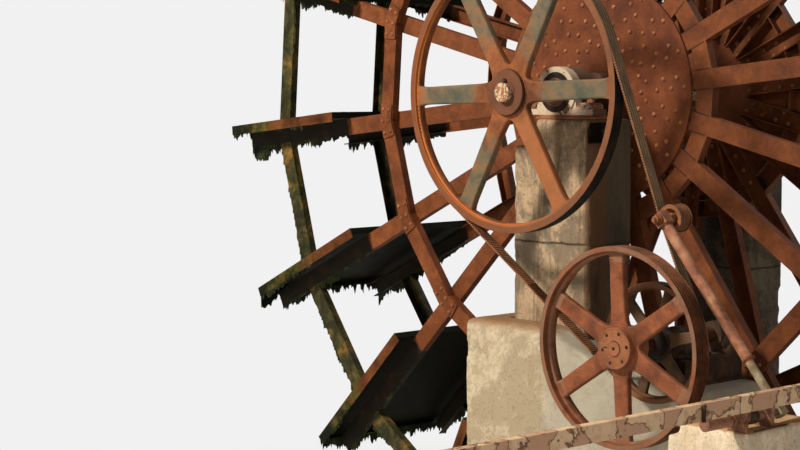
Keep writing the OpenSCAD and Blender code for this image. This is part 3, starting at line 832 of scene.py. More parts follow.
def add_data(name, data, material, body, smooth=35):
    """A mesh that is already built, as an object on a body."""
    data.materials.clear()
    data.materials.append(material)
    data.shade_smooth()
    data.set_sharp_from_angle(angle=math.radians(smooth))
    obj = bpy.data.objects.new(name, data)
    bpy.context.collection.objects.link(obj)
    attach(obj, body)
    return obj


def evaluated(obj):
    """The object's mesh with its modifiers applied."""
    graph = bpy.context.evaluated_depsgraph_get()
    return bpy.data.meshes.new_from_object(obj.evaluated_get(graph))


print("mesh helpers ready")

# %% [markdown]
# ## Rivets and bolts: the patterns
#
# Hundreds of rivets hold the wheel together. Each kind is drawn once, as a small pattern mesh with a
# few dozen faces, about its own Z: rows of points that go round, joined by faces. A cylinder with a
# Bevel modifier would do too, but has more faces than a rivet can use. The shank isn't drawn: its
# foot is a millimetre below the surface, so that no gap can show.

# %% Fastener patterns
SUNK = -0.001


def circle(radius, sides):
    """Points of a circle as (x, y) pairs."""
    turns = [2 * math.pi * k / sides for k in range(sides)]
    return [(radius * math.cos(a), radius * math.sin(a)) for a in turns]


def closed_rows(rows, sides, foot=1):
    """Faces between rows of points that go round, with a cap at each end; foot -1 turns the first over."""
    faces = []
    for row in range(rows - 1):
        for k in range(sides):
            m = (k + 1) % sides
            faces.append((row * sides + k, row * sides + m, (row + 1) * sides + m, (row + 1) * sides + k))
    return faces + [tuple(range(sides))[::foot], tuple(range((rows - 1) * sides, rows * sides))]


def pattern(name, profile, sides):
    """A small lathe-turned mesh about Z from (radius, height) points, closed at both ends."""
    data = bpy.data.meshes.new(name)
    verts = [(x, y, z) for radius, z in profile for x, y in circle(radius, sides)]
    data.from_pydata(verts, [], closed_rows(len(profile), sides, -1))
    data.shade_smooth()
    data.set_sharp_from_angle(angle=math.radians(40))
    print(name, len(data.polygons), "faces")
    return bpy.data.objects.new(name, data)


RIVET = pattern("rivet", [(0.0125, SUNK), (0.012, 0.002), (0.0105, 0.005), (0.0075, 0.0075), (0.003, 0.009)], 12)
HEX_HEAD = pattern("hex_head", [(0.0140, SUNK), (0.0140, 0.007), (0.0125, 0.0085), (0.006, 0.0090)], 6)
BIG_HEX = pattern("big_hex", [(0.0220, SUNK), (0.0220, 0.013), (0.0200, 0.0150), (0.010, 0.0155),
                              (0.010, 0.030)], 6)

# %% [markdown]
# ## Rivets and bolts: the node tree
#
# Copying a mesh in a Python loop would work, but Geometry Nodes does it faster and shows the rule in
# one picture: a point for each rivet, the pattern put on it, turned to face the way that the point
# says, spun and scaled a little at random, then made real and painted. The seed is fixed, so every
# run gives the same wheel.

# %% Fastener tree


def wire(links, pairs):
    """Links each (output, input) pair of sockets."""
    for output, target in pairs:
        links.new(output, target)


def fastener_tree():
    """Node tree that instances a pattern on points, turned to face the way each point says."""
    group = bpy.data.node_groups.new("fasteners", "GeometryNodeTree")
    for name, way, kind in (("Geometry", "INPUT", "Geometry"), ("Pattern", "INPUT", "Object"),
                            ("Spread", "INPUT", "Float"), ("Seed", "INPUT", "Int"),
                            ("Finish", "INPUT", "Material"), ("Geometry", "OUTPUT", "Geometry")):
        group.interface.new_socket(name, in_out=way, socket_type="NodeSocket" + kind)
    add = group.nodes.new
    start, end = add("NodeGroupInput").outputs, add("NodeGroupOutput")
    info, facing = add("GeometryNodeObjectInfo"), add("GeometryNodeInputNamedAttribute")
    align, place = add("FunctionNodeAlignRotationToVector"), add("GeometryNodeInstanceOnPoints")
    spin, about = add("FunctionNodeRandomValue"), add("ShaderNodeCombineXYZ")
    turn, low, high = add("GeometryNodeRotateInstances"), add("ShaderNodeMath"), add("ShaderNodeMath")
    size, grow = add("FunctionNodeRandomValue"), add("GeometryNodeScaleInstances")
    real, paint = add("GeometryNodeRealizeInstances"), add("GeometryNodeSetMaterial")
    facing.data_type = "FLOAT_VECTOR"
    facing.inputs["Name"].default_value = "facing"
    align.axis = "Z"
    spin.data_type = size.data_type = "FLOAT"
    spin.inputs[3].default_value = 2 * math.pi
    for limit, operation, socket in ((low, "SUBTRACT", size.inputs[2]), (high, "ADD", size.inputs[3])):
        limit.operation = operation
        limit.inputs[0].default_value = 1.0
        wire(group.links, ((start["Spread"], limit.inputs[1]), (limit.outputs["Value"], socket)))
    wire(group.links, (
        (start["Pattern"], info.inputs["Object"]), (facing.outputs["Attribute"], align.inputs["Vector"]),
        (start["Geometry"], place.inputs["Points"]), (info.outputs["Geometry"], place.inputs["Instance"]),
        (align.outputs["Rotation"], place.inputs["Rotation"]), (start["Seed"], spin.inputs["Seed"]),
        (spin.outputs[1], about.inputs["Z"]), (place.outputs["Instances"], turn.inputs["Instances"]),
        (about.outputs["Vector"], turn.inputs["Rotation"]), (start["Seed"], size.inputs["Seed"]),
        (turn.outputs["Instances"], grow.inputs["Instances"]), (size.outputs[1], grow.inputs["Scale"]),
        (grow.outputs["Instances"], real.inputs["Geometry"]), (real.outputs["Geometry"], paint.inputs["Geometry"]),
        (start["Finish"], paint.inputs["Material"]), (paint.outputs["Geometry"], end.inputs["Geometry"])))
    return group


FASTENERS = fastener_tree()
print("fastener tree:", len(FASTENERS.nodes), "nodes")

# %% [markdown]
# ## Rivets and bolts: fastening
#
# A rivet stands square to its plate, so each point carries the way that it faces as an attribute. A
# modifier's input is set by its socket's identifier, before the object is first evaluated. The
# modifier could stay, but the motion needs a plain mesh. So the result is taken as one, and the cloud
# of points is thrown away.

# %% Fastening


def fasten(name, kind, places, material, body, spread=0.06, seed=1):
    """One mesh of fasteners at (point, facing) places."""
    data = bpy.data.meshes.new(name + "_points")
    data.from_pydata([tuple(p) for p, _ in places], [], [])
    facing = data.attributes.new("facing", "FLOAT_VECTOR", "POINT")
    facing.data.foreach_set("vector", [c for _, f in places for c in f])
    cloud = bpy.data.objects.new(name + "_points", data)
    bpy.context.collection.objects.link(cloud)
    modifier = cloud.modifiers.new("fasteners", "NODES")
    modifier.node_group = FASTENERS
    values = {"Pattern": kind, "Spread": spread, "Seed": seed, "Finish": material}
    for item in FASTENERS.interface.items_tree:
        if item.in_out == "INPUT" and item.name in values:
            modifier[item.identifier] = values[item.name]
    cloud.update_tag()
    mesh = evaluated(cloud)
    bpy.data.objects.remove(cloud)
    mesh.name = name
    print(name, len(places), "fasteners")
    return add_data(name, mesh, material, body, 40)


# %% [markdown]
# ## Where the wheel's fasteners sit
#
# Two staggered rows of rivets run along every spoke on the hub disc, three pairs hold each bent plate
# of the inner rings, and hexagon bolts hold the pans to the spokes. They could be scattered over the
# plates, but real ones sit where the steel behind them is. All of them follow the wheel's grid, so a
# list of radii is enough. The same rows are put on the inner side and on the far side.

# %% Where the wheel's fasteners sit
NEAR, FAR = Vector((0, -1, 0)), Vector((0, 1, 0))
LOWER_ROW, UPPER_ROW = (0.250, 0.360, 0.455, 0.540), (0.290, 0.405, 0.495)
ROW_OFFSET, INSIDE_SHIFT = 0.027, 0.06
PLATE_WING, PLATE_COLUMN = 0.070, 0.025
PAN_BACK = -CHANNEL_D / 2 - 0.040
PAN_BOLT_R, PAN_BOLT_IN = (2.19, 2.44, 2.69, 2.94), 0.028


def both_sides(radius, angle, y, across, ways=(NEAR, FAR)):
    """The same place on the near half and on the far half of the wheel."""
    return [(on_wheel(radius, angle, side, across), way) for side, way in zip((y, mirrored(y)), ways)]


def disc_rivets():
    """Two staggered rows of rivets on the disc along each spoke, on both sides."""
    places = []
    for angle in spoke_angles():
        for radii, across in ((LOWER_ROW, -ROW_OFFSET), (UPPER_ROW, ROW_OFFSET)):
            for radius in radii:
                places += both_sides(radius, angle, DISC_Y, across)
                places += both_sides(radius + INSIDE_SHIFT, angle, SPOKE_Y + CHANNEL_T, across, (FAR, NEAR))
    return places


def fishplate_rivets():
    """Three pairs over each corner of the inner rings."""
    places = []
    for angle in spoke_angles():
        for wing in (-1, 0, 1):
            for column in (-PLATE_COLUMN, PLATE_COLUMN):
                along, bend = PLATE_WING * abs(wing), wing * STEP / 2
                radial = INNER_R - along * math.sin(abs(bend)) + column * math.cos(bend)
                across = wing * along * math.cos(bend) + column * math.sin(bend)
                places += both_sides(radial, angle, PLATE_Y, across)
    return places


def blade_bolts():
    """Bolts through each pan into the spokes' flanges, heads on the pan's back."""
    places = []
    for angle in spoke_angles():
        facing = Vector((math.sin(angle), 0, -math.cos(angle)))
        for radius in PAN_BOLT_R:
            for y in (SPOKE_Y + PAN_BOLT_IN, mirrored(SPOKE_Y + PAN_BOLT_IN)):
                places.append((on_wheel(radius, angle, y, PAN_BACK), facing))
    return places


fasten("disc_rivets", RIVET, disc_rivets(), BOLT_RUST, "wheel", 0.08, 3)
fasten("fishplate_rivets", RIVET, fishplate_rivets(), BOLT_RUST, "wheel", 0.06, 5)
fasten("blade_bolts", HEX_HEAD, blade_bolts(), BOLT_RUST, "wheel", 0.05, 7)

# %% [markdown]
# ## Cast sheaves: the web
#
# Rim, hub and arms are cast in one, so the arms swell where they meet the rim and the hub. Drawing
# six arms would leave those corners to be filled. It is easier to draw the six windows between them,
# round their corners, and cut them out of a plate. A filled 2D curve does exactly that, and its bevel
# rounds every edge at once.

# %% The sheaves' web
WINDOWS, ARC_STEPS, DISC_SIDES = 6, 14, 120


def rounded(points, radius, steps=6):
    """A closed outline with each sharp corner replaced by a curve."""
    result = []
    for i, point in enumerate(points):
        corner = Vector(point)
        before = Vector(points[i - 1]) - corner
        after = Vector(points[(i + 1) % len(points)]) - corner
        if before.angle(after) > math.radians(150):
            result.append(point)
            continue
        a = corner + before.normalized() * min(radius, before.length * 0.45)
        b = corner + after.normalized() * min(radius, after.length * 0.45)
        for k in range(steps + 1):
            t = k / steps
            result.append(tuple(a * (1 - t) ** 2 + corner * 2 * t * (1 - t) + b * t ** 2))
    return result


def window(index, first, hub_r, rim_r, hub_half, rim_half, corner):
    """Outline of the gap between two arms."""
    low = first + index * math.pi / 3
    high = low + math.pi / 3

    def ray(radius, half, angle, side):
        c, s = math.cos(angle), math.sin(angle)
        return (radius * c - side * half * s, radius * s + side * half * c)

    spread_low = low + math.asin(rim_half / rim_r)
    spread_high = high - math.asin(rim_half / rim_r)
    arc = [spread_low + (spread_high - spread_low) * k / ARC_STEPS for k in range(1, ARC_STEPS)]
    outline = [ray(hub_r, hub_half, low, 1), ray(rim_r, rim_half, low, 1)]
    outline += [(rim_r * math.cos(a), rim_r * math.sin(a)) for a in arc]
    outline += [ray(rim_r, rim_half, high, -1), ray(hub_r, hub_half, high, -1)]
    return rounded(outline, corner)


def web_mesh(outer_r, windows, thickness, round_off, origin, y):
    """Plate with windows, its edges rounded, as vertices and faces."""
    data = bpy.data.curves.new("web", "CURVE")
    data.dimensions = "2D"
    data.fill_mode = "BOTH"
    data.extrude = thickness / 2 - round_off
    data.bevel_depth = round_off
    data.bevel_resolution = 3
    for outline in [circle(outer_r, DISC_SIDES)] + windows:
        spline = data.splines.new("POLY")
        spline.points.add(len(outline) - 1)
        for target, (x, z) in zip(spline.points, outline):
            target.co = (x, z, 0, 1)
        spline.use_cyclic_u = True
    obj = bpy.data.objects.new("web", data)
    bpy.context.collection.objects.link(obj)
    mesh = evaluated(obj)
    bpy.data.objects.remove(obj)
    verts = [(origin.x + v.co.x, y - v.co.z, origin.z + v.co.y) for v in mesh.vertices]
    faces = [tuple(p.vertices) for p in mesh.polygons]
    bpy.data.meshes.remove(mesh)
    return verts, faces


print("web maker ready")

# %% [markdown]
# ## Cast sheaves: turned outlines
#
# Rim and hub are turned on a lathe after casting, so each is one outline carried round the shaft.
# Blender's Spin tool or a Screw modifier could do it. Writing the rings of points here keeps the last
# ring joined to the first, so that no seam is left open. The rim's outline has a V for each belt, and
# every corner is cut back a little, as a tool leaves it.

# %% Turned outlines
AXLE_R, COUNTER_R = 0.050, 0.035
BELT_PLANE, TAKEOFF_PLANE = (-0.565, -0.495), (-0.829, -0.737)
GROOVE_DEPTH, GROOVE_TOP, GROOVE_FLOOR = 0.012, 0.0152, 0.0128


def revolve(profile, origin, sides=160):
    """Vertices and faces of a closed profile of (radius, y) points turned about Y."""
    verts, faces = [], []
    count = len(profile)
    for c, s in circle(1.0, sides):
        verts += [(origin.x + radius * c, y, origin.z + radius * s) for radius, y in profile]
    for i in range(sides):
        j = (i + 1) % sides
        for k in range(count):
            m = (k + 1) % count
            faces.append((i * count + k, i * count + m, j * count + m, j * count + k))
    return verts, faces


def chamfered(profile, cut):
    """The profile with each corner cut back along both of its sides."""
    result = []
    for i, point in enumerate(profile):
        here = Vector(point)
        for other in (Vector(profile[i - 1]), Vector(profile[(i + 1) % len(profile)])):
            side = other - here
            result.append(tuple(here + side.normalized() * min(cut, side.length * 0.4)))
    return result


def rim_profile(r, y0, y1, thick, grooves):
    """Rim with V grooves as (radius, y) points."""
    pitch = (y1 - y0 - 0.004) / grooves
    points = [(r - thick, y0), (r, y0)]
    for i in range(grooves):
        mid = (y0 + y1) / 2 + (i - (grooves - 1) / 2) * pitch
        points += [(r, mid - GROOVE_TOP / 2), (r - GROOVE_DEPTH, mid - GROOVE_FLOOR / 2),
                   (r - GROOVE_DEPTH, mid + GROOVE_FLOOR / 2), (r, mid + GROOVE_TOP / 2)]
    return points + [(r, y1), (r - thick, y1)]


def hub_profile(bore, hub_r, front, back, dished):
    """Hub as (radius, y) points, with a shallow dish in its face where it has one."""
    if not dished:
        return [(bore, front), (hub_r, front), (hub_r, back), (bore, back)]
    floor = front + 0.004
    return [(bore, front + 0.001), (bore + 0.006, front + 0.001), (bore + 0.009, floor), (hub_r - 0.010, floor),
            (hub_r - 0.006, front), (hub_r, front), (hub_r, back), (bore, back)]


print("groove depth", GROOVE_DEPTH)

# %% [markdown]
# ## Cast sheaves: the castings
#
# Rim, web, collar and hub are set together. A Boolean union could weld them, but it is slow and may
# fail on faces that touch. Here the pieces overlap inside the metal, which costs nothing and leaves
# no crack. Faces that lie in the grooves get a second material: rust where belts keep them clean, on
# the take-off sheave, and near black painted shade on the other two. The finished casting replaces
# its plain CAD node.

# %% The sheaves


def cast_sheave(name, body, material, bore, rim_y, grooves, sizes, first, dished, groove_rust_and_shade):
    """A spoked sheave that stands for its CAD node; sizes are hub, rim, arm and arm's thickness."""
    hub_r, thick, arm, arm_t = sizes
    origin = centre(name)
    r = span(name, X)[1] - origin.x
    middle, half_t = sum(rim_y) / 2, arm_t / 2 + 0.004
    collar = [(hub_r - 0.01, middle - half_t), (hub_r + 0.014, middle - half_t),
              (hub_r + 0.014, middle + half_t), (hub_r - 0.01, middle + half_t)]
    windows = [window(k, first, hub_r + 0.010, r - thick - 0.004, arm / 2, arm * 0.43, arm * 1.15)
               for k in range(WINDOWS)]
    verts, faces = [], []
    for more_verts, more_faces in (
            revolve(chamfered(rim_profile(r, *rim_y, thick, grooves), 0.0010), origin, 192),
            revolve(chamfered(hub_profile(bore, hub_r, *span(name, Y), dished), 0.003), origin, 96),
            revolve(chamfered(collar, 0.006), origin, 96),
            web_mesh(r - thick + 0.004, windows, arm_t, min(0.010, arm_t * 0.3), origin, middle)):
        shift = len(verts)
        verts += more_verts
        faces += [tuple(i + shift for i in f) for f in more_faces]
    obj = add_mesh(name + "_cast", verts, faces, material, body, 32)
    # The grooves' second material: rust on the take-off sheave, painted shade on the other two.
    obj.data.materials.append(groove_rust_and_shade)
    low, high = rim_y[0] + 0.0015, rim_y[1] - 0.0015
    for face in obj.data.polygons:
        spot = face.center
        if low < spot.y < high and math.hypot(spot.x - origin.x, spot.z - origin.z) > r - GROOVE_DEPTH - 0.001:
            face.material_index = 1
    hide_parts(name)
    print(obj.name, len(faces), "faces")


cast_sheave("upper_sheave", "wheel", SHEAVE_RUST, AXLE_R - 0.001, BELT_PLANE, 4,
            (0.117, 0.036, 0.084, 0.044), math.radians(1.8), False, GROOVE_SHADE)
cast_sheave("small_sheave", "counter", SMALL_RUST, COUNTER_R - 0.001, BELT_PLANE, 4,
            (0.076, 0.024, 0.046, 0.022), math.radians(12), False, GROOVE_SHADE)
cast_sheave("takeoff_sheave", "counter", TAKEOFF_RUST, COUNTER_R - 0.001, TAKEOFF_PLANE, 5,
            (0.098, 0.024, 0.070, 0.034), math.radians(33.5), True, GROOVE_RUST)

# %% [markdown]
# ## Belts: the line they run
#
# Four V-belts run round both sheaves, and the idler presses their slack run in. A curve with a few
# handles could be fitted by eye, but a belt touches each sheave exactly: straight runs are the common
# tangents of two circles, and the angle where each begins follows from the radii and the distance.
# The idler's arc bends the other way.

# %% The belts' line
BELT_T, IDLER_R, IDLER_GAP = 0.011, 0.062, 0.0004
SHEAVE_DEPTH = 0.010


def toward(angle):
    """Unit step in X and Z."""
    return Vector((math.cos(angle), math.sin(angle)))


def bent_run(middle, radius, start, end, step):
    """(point, outward direction, distance) rows along an arc, and its length."""
    length = abs((end - start) * radius)
    count = max(3, int(length / step))
    angles = [start + (end - start) * k / count for k in range(count)]
    rows = [(middle + toward(a) * radius, toward(a), length * k / count) for k, a in enumerate(angles)]
    return rows, length


def straight_run(a, b, angle, step):
    """(point, outward direction, distance) rows along a straight line, and its length."""
    length = (b - a).length
    count = max(2, int(length / step))
    return [(a.lerp(b, k / count), toward(angle), length * k / count) for k in range(count)], length


def belt_path(step):
    """Points and outward directions along the belts' inner line, with the distance run."""
    one, two, idler = (Vector((c.x, c.z)) for c in (AXLE, COUNTER, IDLER))
    r1 = span("upper_sheave", X)[1] - AXLE.x - SHEAVE_DEPTH
    r2 = span("small_sheave", X)[1] - COUNTER.x - SHEAVE_DEPTH
    bend = IDLER_R + IDLER_GAP + BELT_T
    gap, from_one, from_two = two - one, idler - one, idler - two
    taut = math.atan2(gap.y, gap.x) - math.acos((r1 - r2) / gap.length)
    above = math.atan2(from_one.y, from_one.x) + math.acos((r1 + bend) / from_one.length)
    below = math.atan2(from_two.y, from_two.x) - math.acos((r2 + bend) / from_two.length)
    path, run = [], 0.0
    for rows, length in (
            bent_run(one, r1, above, taut + 2 * math.pi, step),
            straight_run(one + toward(taut) * r1, two + toward(taut) * r2, taut, step),
            bent_run(two, r2, taut, below, step),
            straight_run(two + toward(below) * r2, idler - toward(below) * bend, below, step),
            bent_run(idler, -bend, below, above, step),
            straight_run(idler - toward(above) * bend, one + toward(above) * r1, above, step)):
        path += [(point, out, run + along) for point, out, along in rows]
        run += length
    print("belt line", round(run, 3), "m")
    return path


# %% [markdown]
# ## Belts: the cogged section
#
# Each belt is a six-sided section carried along that line. Its inner side is notched, so that it
# bends easily. The notches could be cut with a Boolean, but moving the inner two points in and out
# along the way makes them for nothing. The notches collect rust, the cogs are brown and the sides pale.

# %% The belts
BELTS, COG_PITCH, COG_DEPTH, COG_SHARE = 4, 0.0135, 0.0042, 0.62
INNER_HALF, SHOULDER_HALF, BACK_HALF, SHOULDER = 0.0064, 0.0072, 0.0044, 0.0014


def belts():
    """The four belts as closed meshes, the cogs moulded into their inner side."""
    path = belt_path(0.0045)
    verts, faces, count, notches = [], [], len(path), set()
    for i in range(BELTS):
        mid = sum(BELT_PLANE) / 2 + (i - 1.5) * BELT_PITCH
        base = len(verts)
        for point, out, run in path:
            cut = COG_DEPTH if (run / COG_PITCH) % 1.0 > COG_SHARE else 0.0
            if cut:
                notches |= {len(verts), len(verts) + 5}
            for level, half in ((cut, INNER_HALF), (BELT_T - SHOULDER, SHOULDER_HALF), (BELT_T, BACK_HALF),
                                (BELT_T, -BACK_HALF), (BELT_T - SHOULDER, -SHOULDER_HALF), (cut, -INNER_HALF)):
                place = point + out * level
                verts.append((place.x, mid + half, place.y))
        for k in range(count):
            n = (k + 1) % count
            for m in range(6):
                q = (m + 1) % 6
                faces.append((base + k * 6 + m, base + k * 6 + q, base + n * 6 + q, base + n * 6 + m))
    obj = add_mesh("v_belts", verts, faces, BELT_TOP, "piers", 30)
    for material in (BELT_COG, BELT_EDGE, GROOVE_RUST):
        obj.data.materials.append(material)
    for face in obj.data.polygons:
        rows = {v % 6 for v in face.vertices}
        if rows <= {0, 5} or rows in ({0, 1}, {4, 5}):
            face.material_index = 3 if notches & set(face.vertices) else 1
        elif rows != {2, 3}:
            face.material_index = 2
    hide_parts("drive_belts")
    print("belts wound,", len(faces), "faces")


belts()

# %% [markdown]
# ## Bearings: nuts and loose plates
#
# Each bearing stands on its pier on two big bolts, and its housing is open round the shaft. Thin
# plates lie under the near one's nuts, each a little askew. They could be set straight, but the small
# turns are what makes them look placed by hand, so every plate has its own.

# %% Bearing nuts and plates
UP = Vector((0, 0, 1))
FOOT_TOP = span("near_pier", Z)[1] + 0.050
STAND_TOP = span("countershaft_stand", Z)[1] + 0.022
FOOT_NUT_X, FOOT_NUT_Y, SEAL_FACE, SEAL_LIP = 0.175, -0.120, -0.200, 0.0015
SHIM_X, SHIM_Y, SHIM_RISE, SHIM_NUT_RISE = 0.172, -0.125, 0.0115, 0.036
BOX_FACES = ((0, 1, 3, 2), (4, 6, 7, 5), (0, 4, 5, 1), (2, 3, 7, 6), (0, 2, 6, 4), (1, 5, 7, 3))
SHIM_MOVES = ((0.0, 0.0, 2.0), (0.006, -0.004, -5.0), (-0.004, 0.003, 4.0))


def boxes(name, corners, material, body):
    """Loose plates as one mesh, each given by its eight corners."""
    verts = [corner for box in corners for corner in box]
    faces = [tuple(8 * k + i for i in quad) for k in range(len(corners)) for quad in BOX_FACES]
    return add_mesh(name, verts, faces, material, body, 30)


def nuts(name, places, material, seed):
    """Big hexagon nuts that face up, at (x, y, z) places."""
    fasten(name, BIG_HEX, [(Vector(place), UP) for place in places], material, "piers", 0.04, seed)


def shim(x, level, dx, dy, angle):
    """Corners of one plate of a stack."""
    middle = Vector((x + dx, SHIM_Y + dy, FOOT_TOP + 0.006 + SHIM_RISE * level))
    half = (0.034 - 0.004 * level, 0.066, 0.0052)
    turn = Matrix.Rotation(math.radians(angle), 3, "Z")
    return [middle + turn @ Vector((i * half[0], j * half[1], k * half[2]))
            for i in (-1, 1) for j in (-1, 1) for k in (-1, 1)]


nuts("axle_foot_nuts", [(x, mirrored(FOOT_NUT_Y), FOOT_TOP) for x in (-FOOT_NUT_X, FOOT_NUT_X)], BOLT_RUST, 11)
for index, (y, deep) in enumerate(((SEAL_FACE, -SEAL_LIP), (mirrored(SEAL_FACE), SEAL_LIP))):
    recess = [(0.052, y), (0.106, y), (0.106, y + deep), (0.052, y + deep)]
    add_mesh(f"bearing_recess_{index}", *revolve(recess, AXLE, 64), SEAL, "piers")
stack = [shim(x, level, *move) for x in (-SHIM_X, SHIM_X) for level, move in enumerate(SHIM_MOVES)]
boxes("foot_shims", stack, SHIM_PAINT, "piers")
nuts("shim_nuts", [(x, FOOT_NUT_Y, FOOT_TOP + SHIM_NUT_RISE) for x in (-SHIM_X, SHIM_X)], BOLT_RUST, 12)
nuts("counter_foot_nuts", [(COUNTER.x + x, y, STAND_TOP) for x in (-0.1, 0.1) for y in (-0.365, -0.075)],
     DARK_STEEL, 17)

# %% [markdown]
# ## Tensioner: nut and welds
#
# The tensioner is a pipe with a lug welded on at each end, and a welded joint between. A weld bead is
# a low ring with a round back. Real beads are rippled, which could be carved with noise, but the pipe
# is seen from far away, where a plain ring is enough.

# %% Tensioner nut and welds
POLE = Vector((IDLER.x - PIVOT.x, 0, IDLER.z - PIVOT.z))
POLE_LEN, POLE_WAY = POLE.length, POLE.normalized()
POLE_FOOT = Vector((PIVOT.x, -0.625, PIVOT.z))


def lathe(name, profile, origin, direction, material, body, sides=32):
    """A closed piece of revolution from (radius, distance) points about a direction."""
    turn = Vector(direction).to_track_quat("Z", "X")
    verts = [Vector(origin) + turn @ Vector((x, y, along))
             for radius, along in profile for x, y in circle(radius, sides)]
    return add_mesh(name, verts, closed_rows(len(profile), sides), material, body, 40)


def bead(radius, wide=0.006, high=0.004):
    """Profile of a weld bead round a pipe."""
    return [(radius - 0.002, -wide), (radius + high * 0.7, -wide * 0.6), (radius + high, 0.0),
            (radius + high * 0.7, wide * 0.6), (radius - 0.002, wide)]


bolt_end = Vector((IDLER.x, span("idler_bolt", Y)[0] + 0.010, IDLER.z))
fasten("idler_nut", BIG_HEX, [(bolt_end, NEAR)], BOLT_RUST, "tensioner", 0.02, 2)
for name, profile, along in (("pole_top_weld", bead(0.026), POLE_LEN - 0.040),
                             ("pole_joint_weld", bead(0.0255, 0.008), POLE_LEN * 0.26),
                             ("pole_foot_weld", bead(0.020, 0.007, 0.005), 0.030)):
    lathe(name, profile, POLE_FOOT + POLE_WAY * along, POLE_WAY, BOLT_RUST, "tensioner")
print("pole", round(POLE_LEN, 3), "m from hinge to roller")

# %% [markdown]
# ## Shaft ends: key, ring and screw holes
#
# A key stops the big sheave from slipping on its axle, and its head stands out over the hub. The
# take-off sheave's hub is clamped by screws, so its face shows a ring of dark holes. The holes could
# be cut, but a hole this small is only a dark dot from here, so thin dark discs stand for them: the
# painted shade inside each hole.

# %% Shaft ends
NOSE_Y, HUB_FACE = span("upper_sheave", Y)[0], span("takeoff_sheave", Y)[0]
KEY_MARK = ((-0.066, -0.003), (-0.044, -0.003), (-0.044, 0.003), (-0.066, 0.003))
SCREWS, SCREW_R = 6, 0.074
lathe("gib_key", [(0.013, 0.0), (0.013, 0.020), (0.011, 0.022)],
      (0.003, NOSE_Y + 0.001, AXLE.z + 0.057), NEAR, DARK_STEEL, "wheel", 4)
lathe("hub_ring", [(0.062, SUNK), (0.062, 0.0035), (0.0505, 0.0045)],
      (0, NOSE_Y, AXLE.z), NEAR, SHEAVE_RUST, "wheel", 48)
verts = [(COUNTER.x + x, HUB_FACE + y, COUNTER.z + z) for y in (0.0030, 0.0046) for x, z in KEY_MARK]
sides = [(k, k + 4, (k + 1) % 4 + 4, (k + 1) % 4) for k in range(4)]
add_mesh("hub_key_mark", verts, [(0, 1, 2, 3), (7, 6, 5, 4)] + sides, SEAL, "counter", 30)
lathe("hub_centre_mark", [(0.008, SUNK), (0.008, 0.0012), (0.005, 0.0015)],
      (COUNTER.x, span("countershaft", Y)[0], COUNTER.z), NEAR, SEAL, "counter", 20)
# Thin dark discs: painted shade of the screw holes.
SCREW_HOLE_SHADE = pattern("screw_hole", [(0.0085, SUNK), (0.0085, 0.0006), (0.0060, 0.0008)], 16)
around = [toward(math.radians(10 + 360 / SCREWS * k)) * SCREW_R for k in range(SCREWS)]
hole_shades = [(Vector((COUNTER.x + a.x, HUB_FACE + 0.004, COUNTER.z + a.y)), NEAR) for a in around]
fasten("hub_screw_holes", SCREW_HOLE_SHADE, hole_shades, SEAL, "counter", 0.1, 21)

# %% [markdown]
# ## Hinge and rail: rings, stubs and wire
#
# The hinge is made of pipe ends slipped over a rod, each of another size. Beside it a stub, a strap
# and a twist of wire belong to the rail. Such things are added on site with what is at hand. A few
# points along a path are enough for wire, where a curve object would need converting.

# %% Hinge and rail


def tube(name, path, radius, material, body, sides=10):
    """A round wire along a list of points, closed at both ends."""
    points = [Vector(p) for p in path]
    verts = []
    for i, point in enumerate(points):
        ahead = points[min(i + 1, len(points) - 1)] - points[max(i - 1, 0)]
        turn = ahead.to_track_quat("Z", "X")
        verts += [point + turn @ Vector((x, y, 0)) for x, y in circle(radius, sides)]
    return add_mesh(name, verts, closed_rows(len(points), sides), material, body, 50)


lathe("hinge_screw", [(0.005, 0.0), (0.005, 0.026), (0.009, 0.026), (0.009, 0.033)],
      (PIVOT.x, -0.865, PIVOT.z + 0.020), UP, BOLT_RUST, "piers", 12)
for name, y0, y1, inner, radius, material, body in (
        ("hinge_tube_0", -0.978, -0.868, 0.0215, 0.0305, HINGE_RUST_SUNLIT, "piers"),
        ("hinge_tube_1", -0.866, -0.808, 0.0215, 0.0330, DARK_STEEL, "piers"),
        ("hinge_tube_2", -0.806, -0.692, 0.0215, 0.0280, HINGE_RUST_SUNLIT, "piers"),
        ("hinge_rod_tube", -1.159, -0.984, 0.0165, 0.0270, HINGE_RUST_SUNLIT, "tensioner")):
    ring = chamfered([(inner, y0), (radius, y0), (radius, y1), (inner, y1)], 0.003)
    add_mesh(name, *revolve(ring, PIVOT, 40), material, body)
lathe("rail_stub", [(0.0095, 0.0), (0.0095, 0.068), (0.0075, 0.071)],
      (1.7975, -1.240, 1.934), UP, DARK_STEEL, "piers", 16)
lathe("anchor_stub", [(0.007, -0.004), (0.007, 0.046), (0.005, 0.048)],
      (1.797, -0.945, 1.85), UP, BOLT_RUST, "piers", 16)
tube("anchor_strap", [(1.808, -0.905, 1.853), (1.797, -0.78, 1.854), (1.800, -0.66, 1.853)],
     0.0045, DARK_STEEL, "piers")
tube("rail_wire", [(1.7925, -0.985, 1.934), (1.7925, -0.985, 2.0118), (1.7475, -0.990, 2.0118),
                   (1.7475, -0.996, 1.934), (1.7930, -1.000, 1.934), (1.7960, -1.050, 1.931)],
     0.0018, BOLT_RUST, "piers", 8)
print("hinge and rail dressed")

# %% [markdown]
# ## Dots on the rim
#
# A short row of punched dots follows the big sheave's rim on its near face. They could be painted by
# a pattern in the material, but they are sharper as tiny discs, and the maker that placed the rivets
# sets them eight in a row at equal steps.

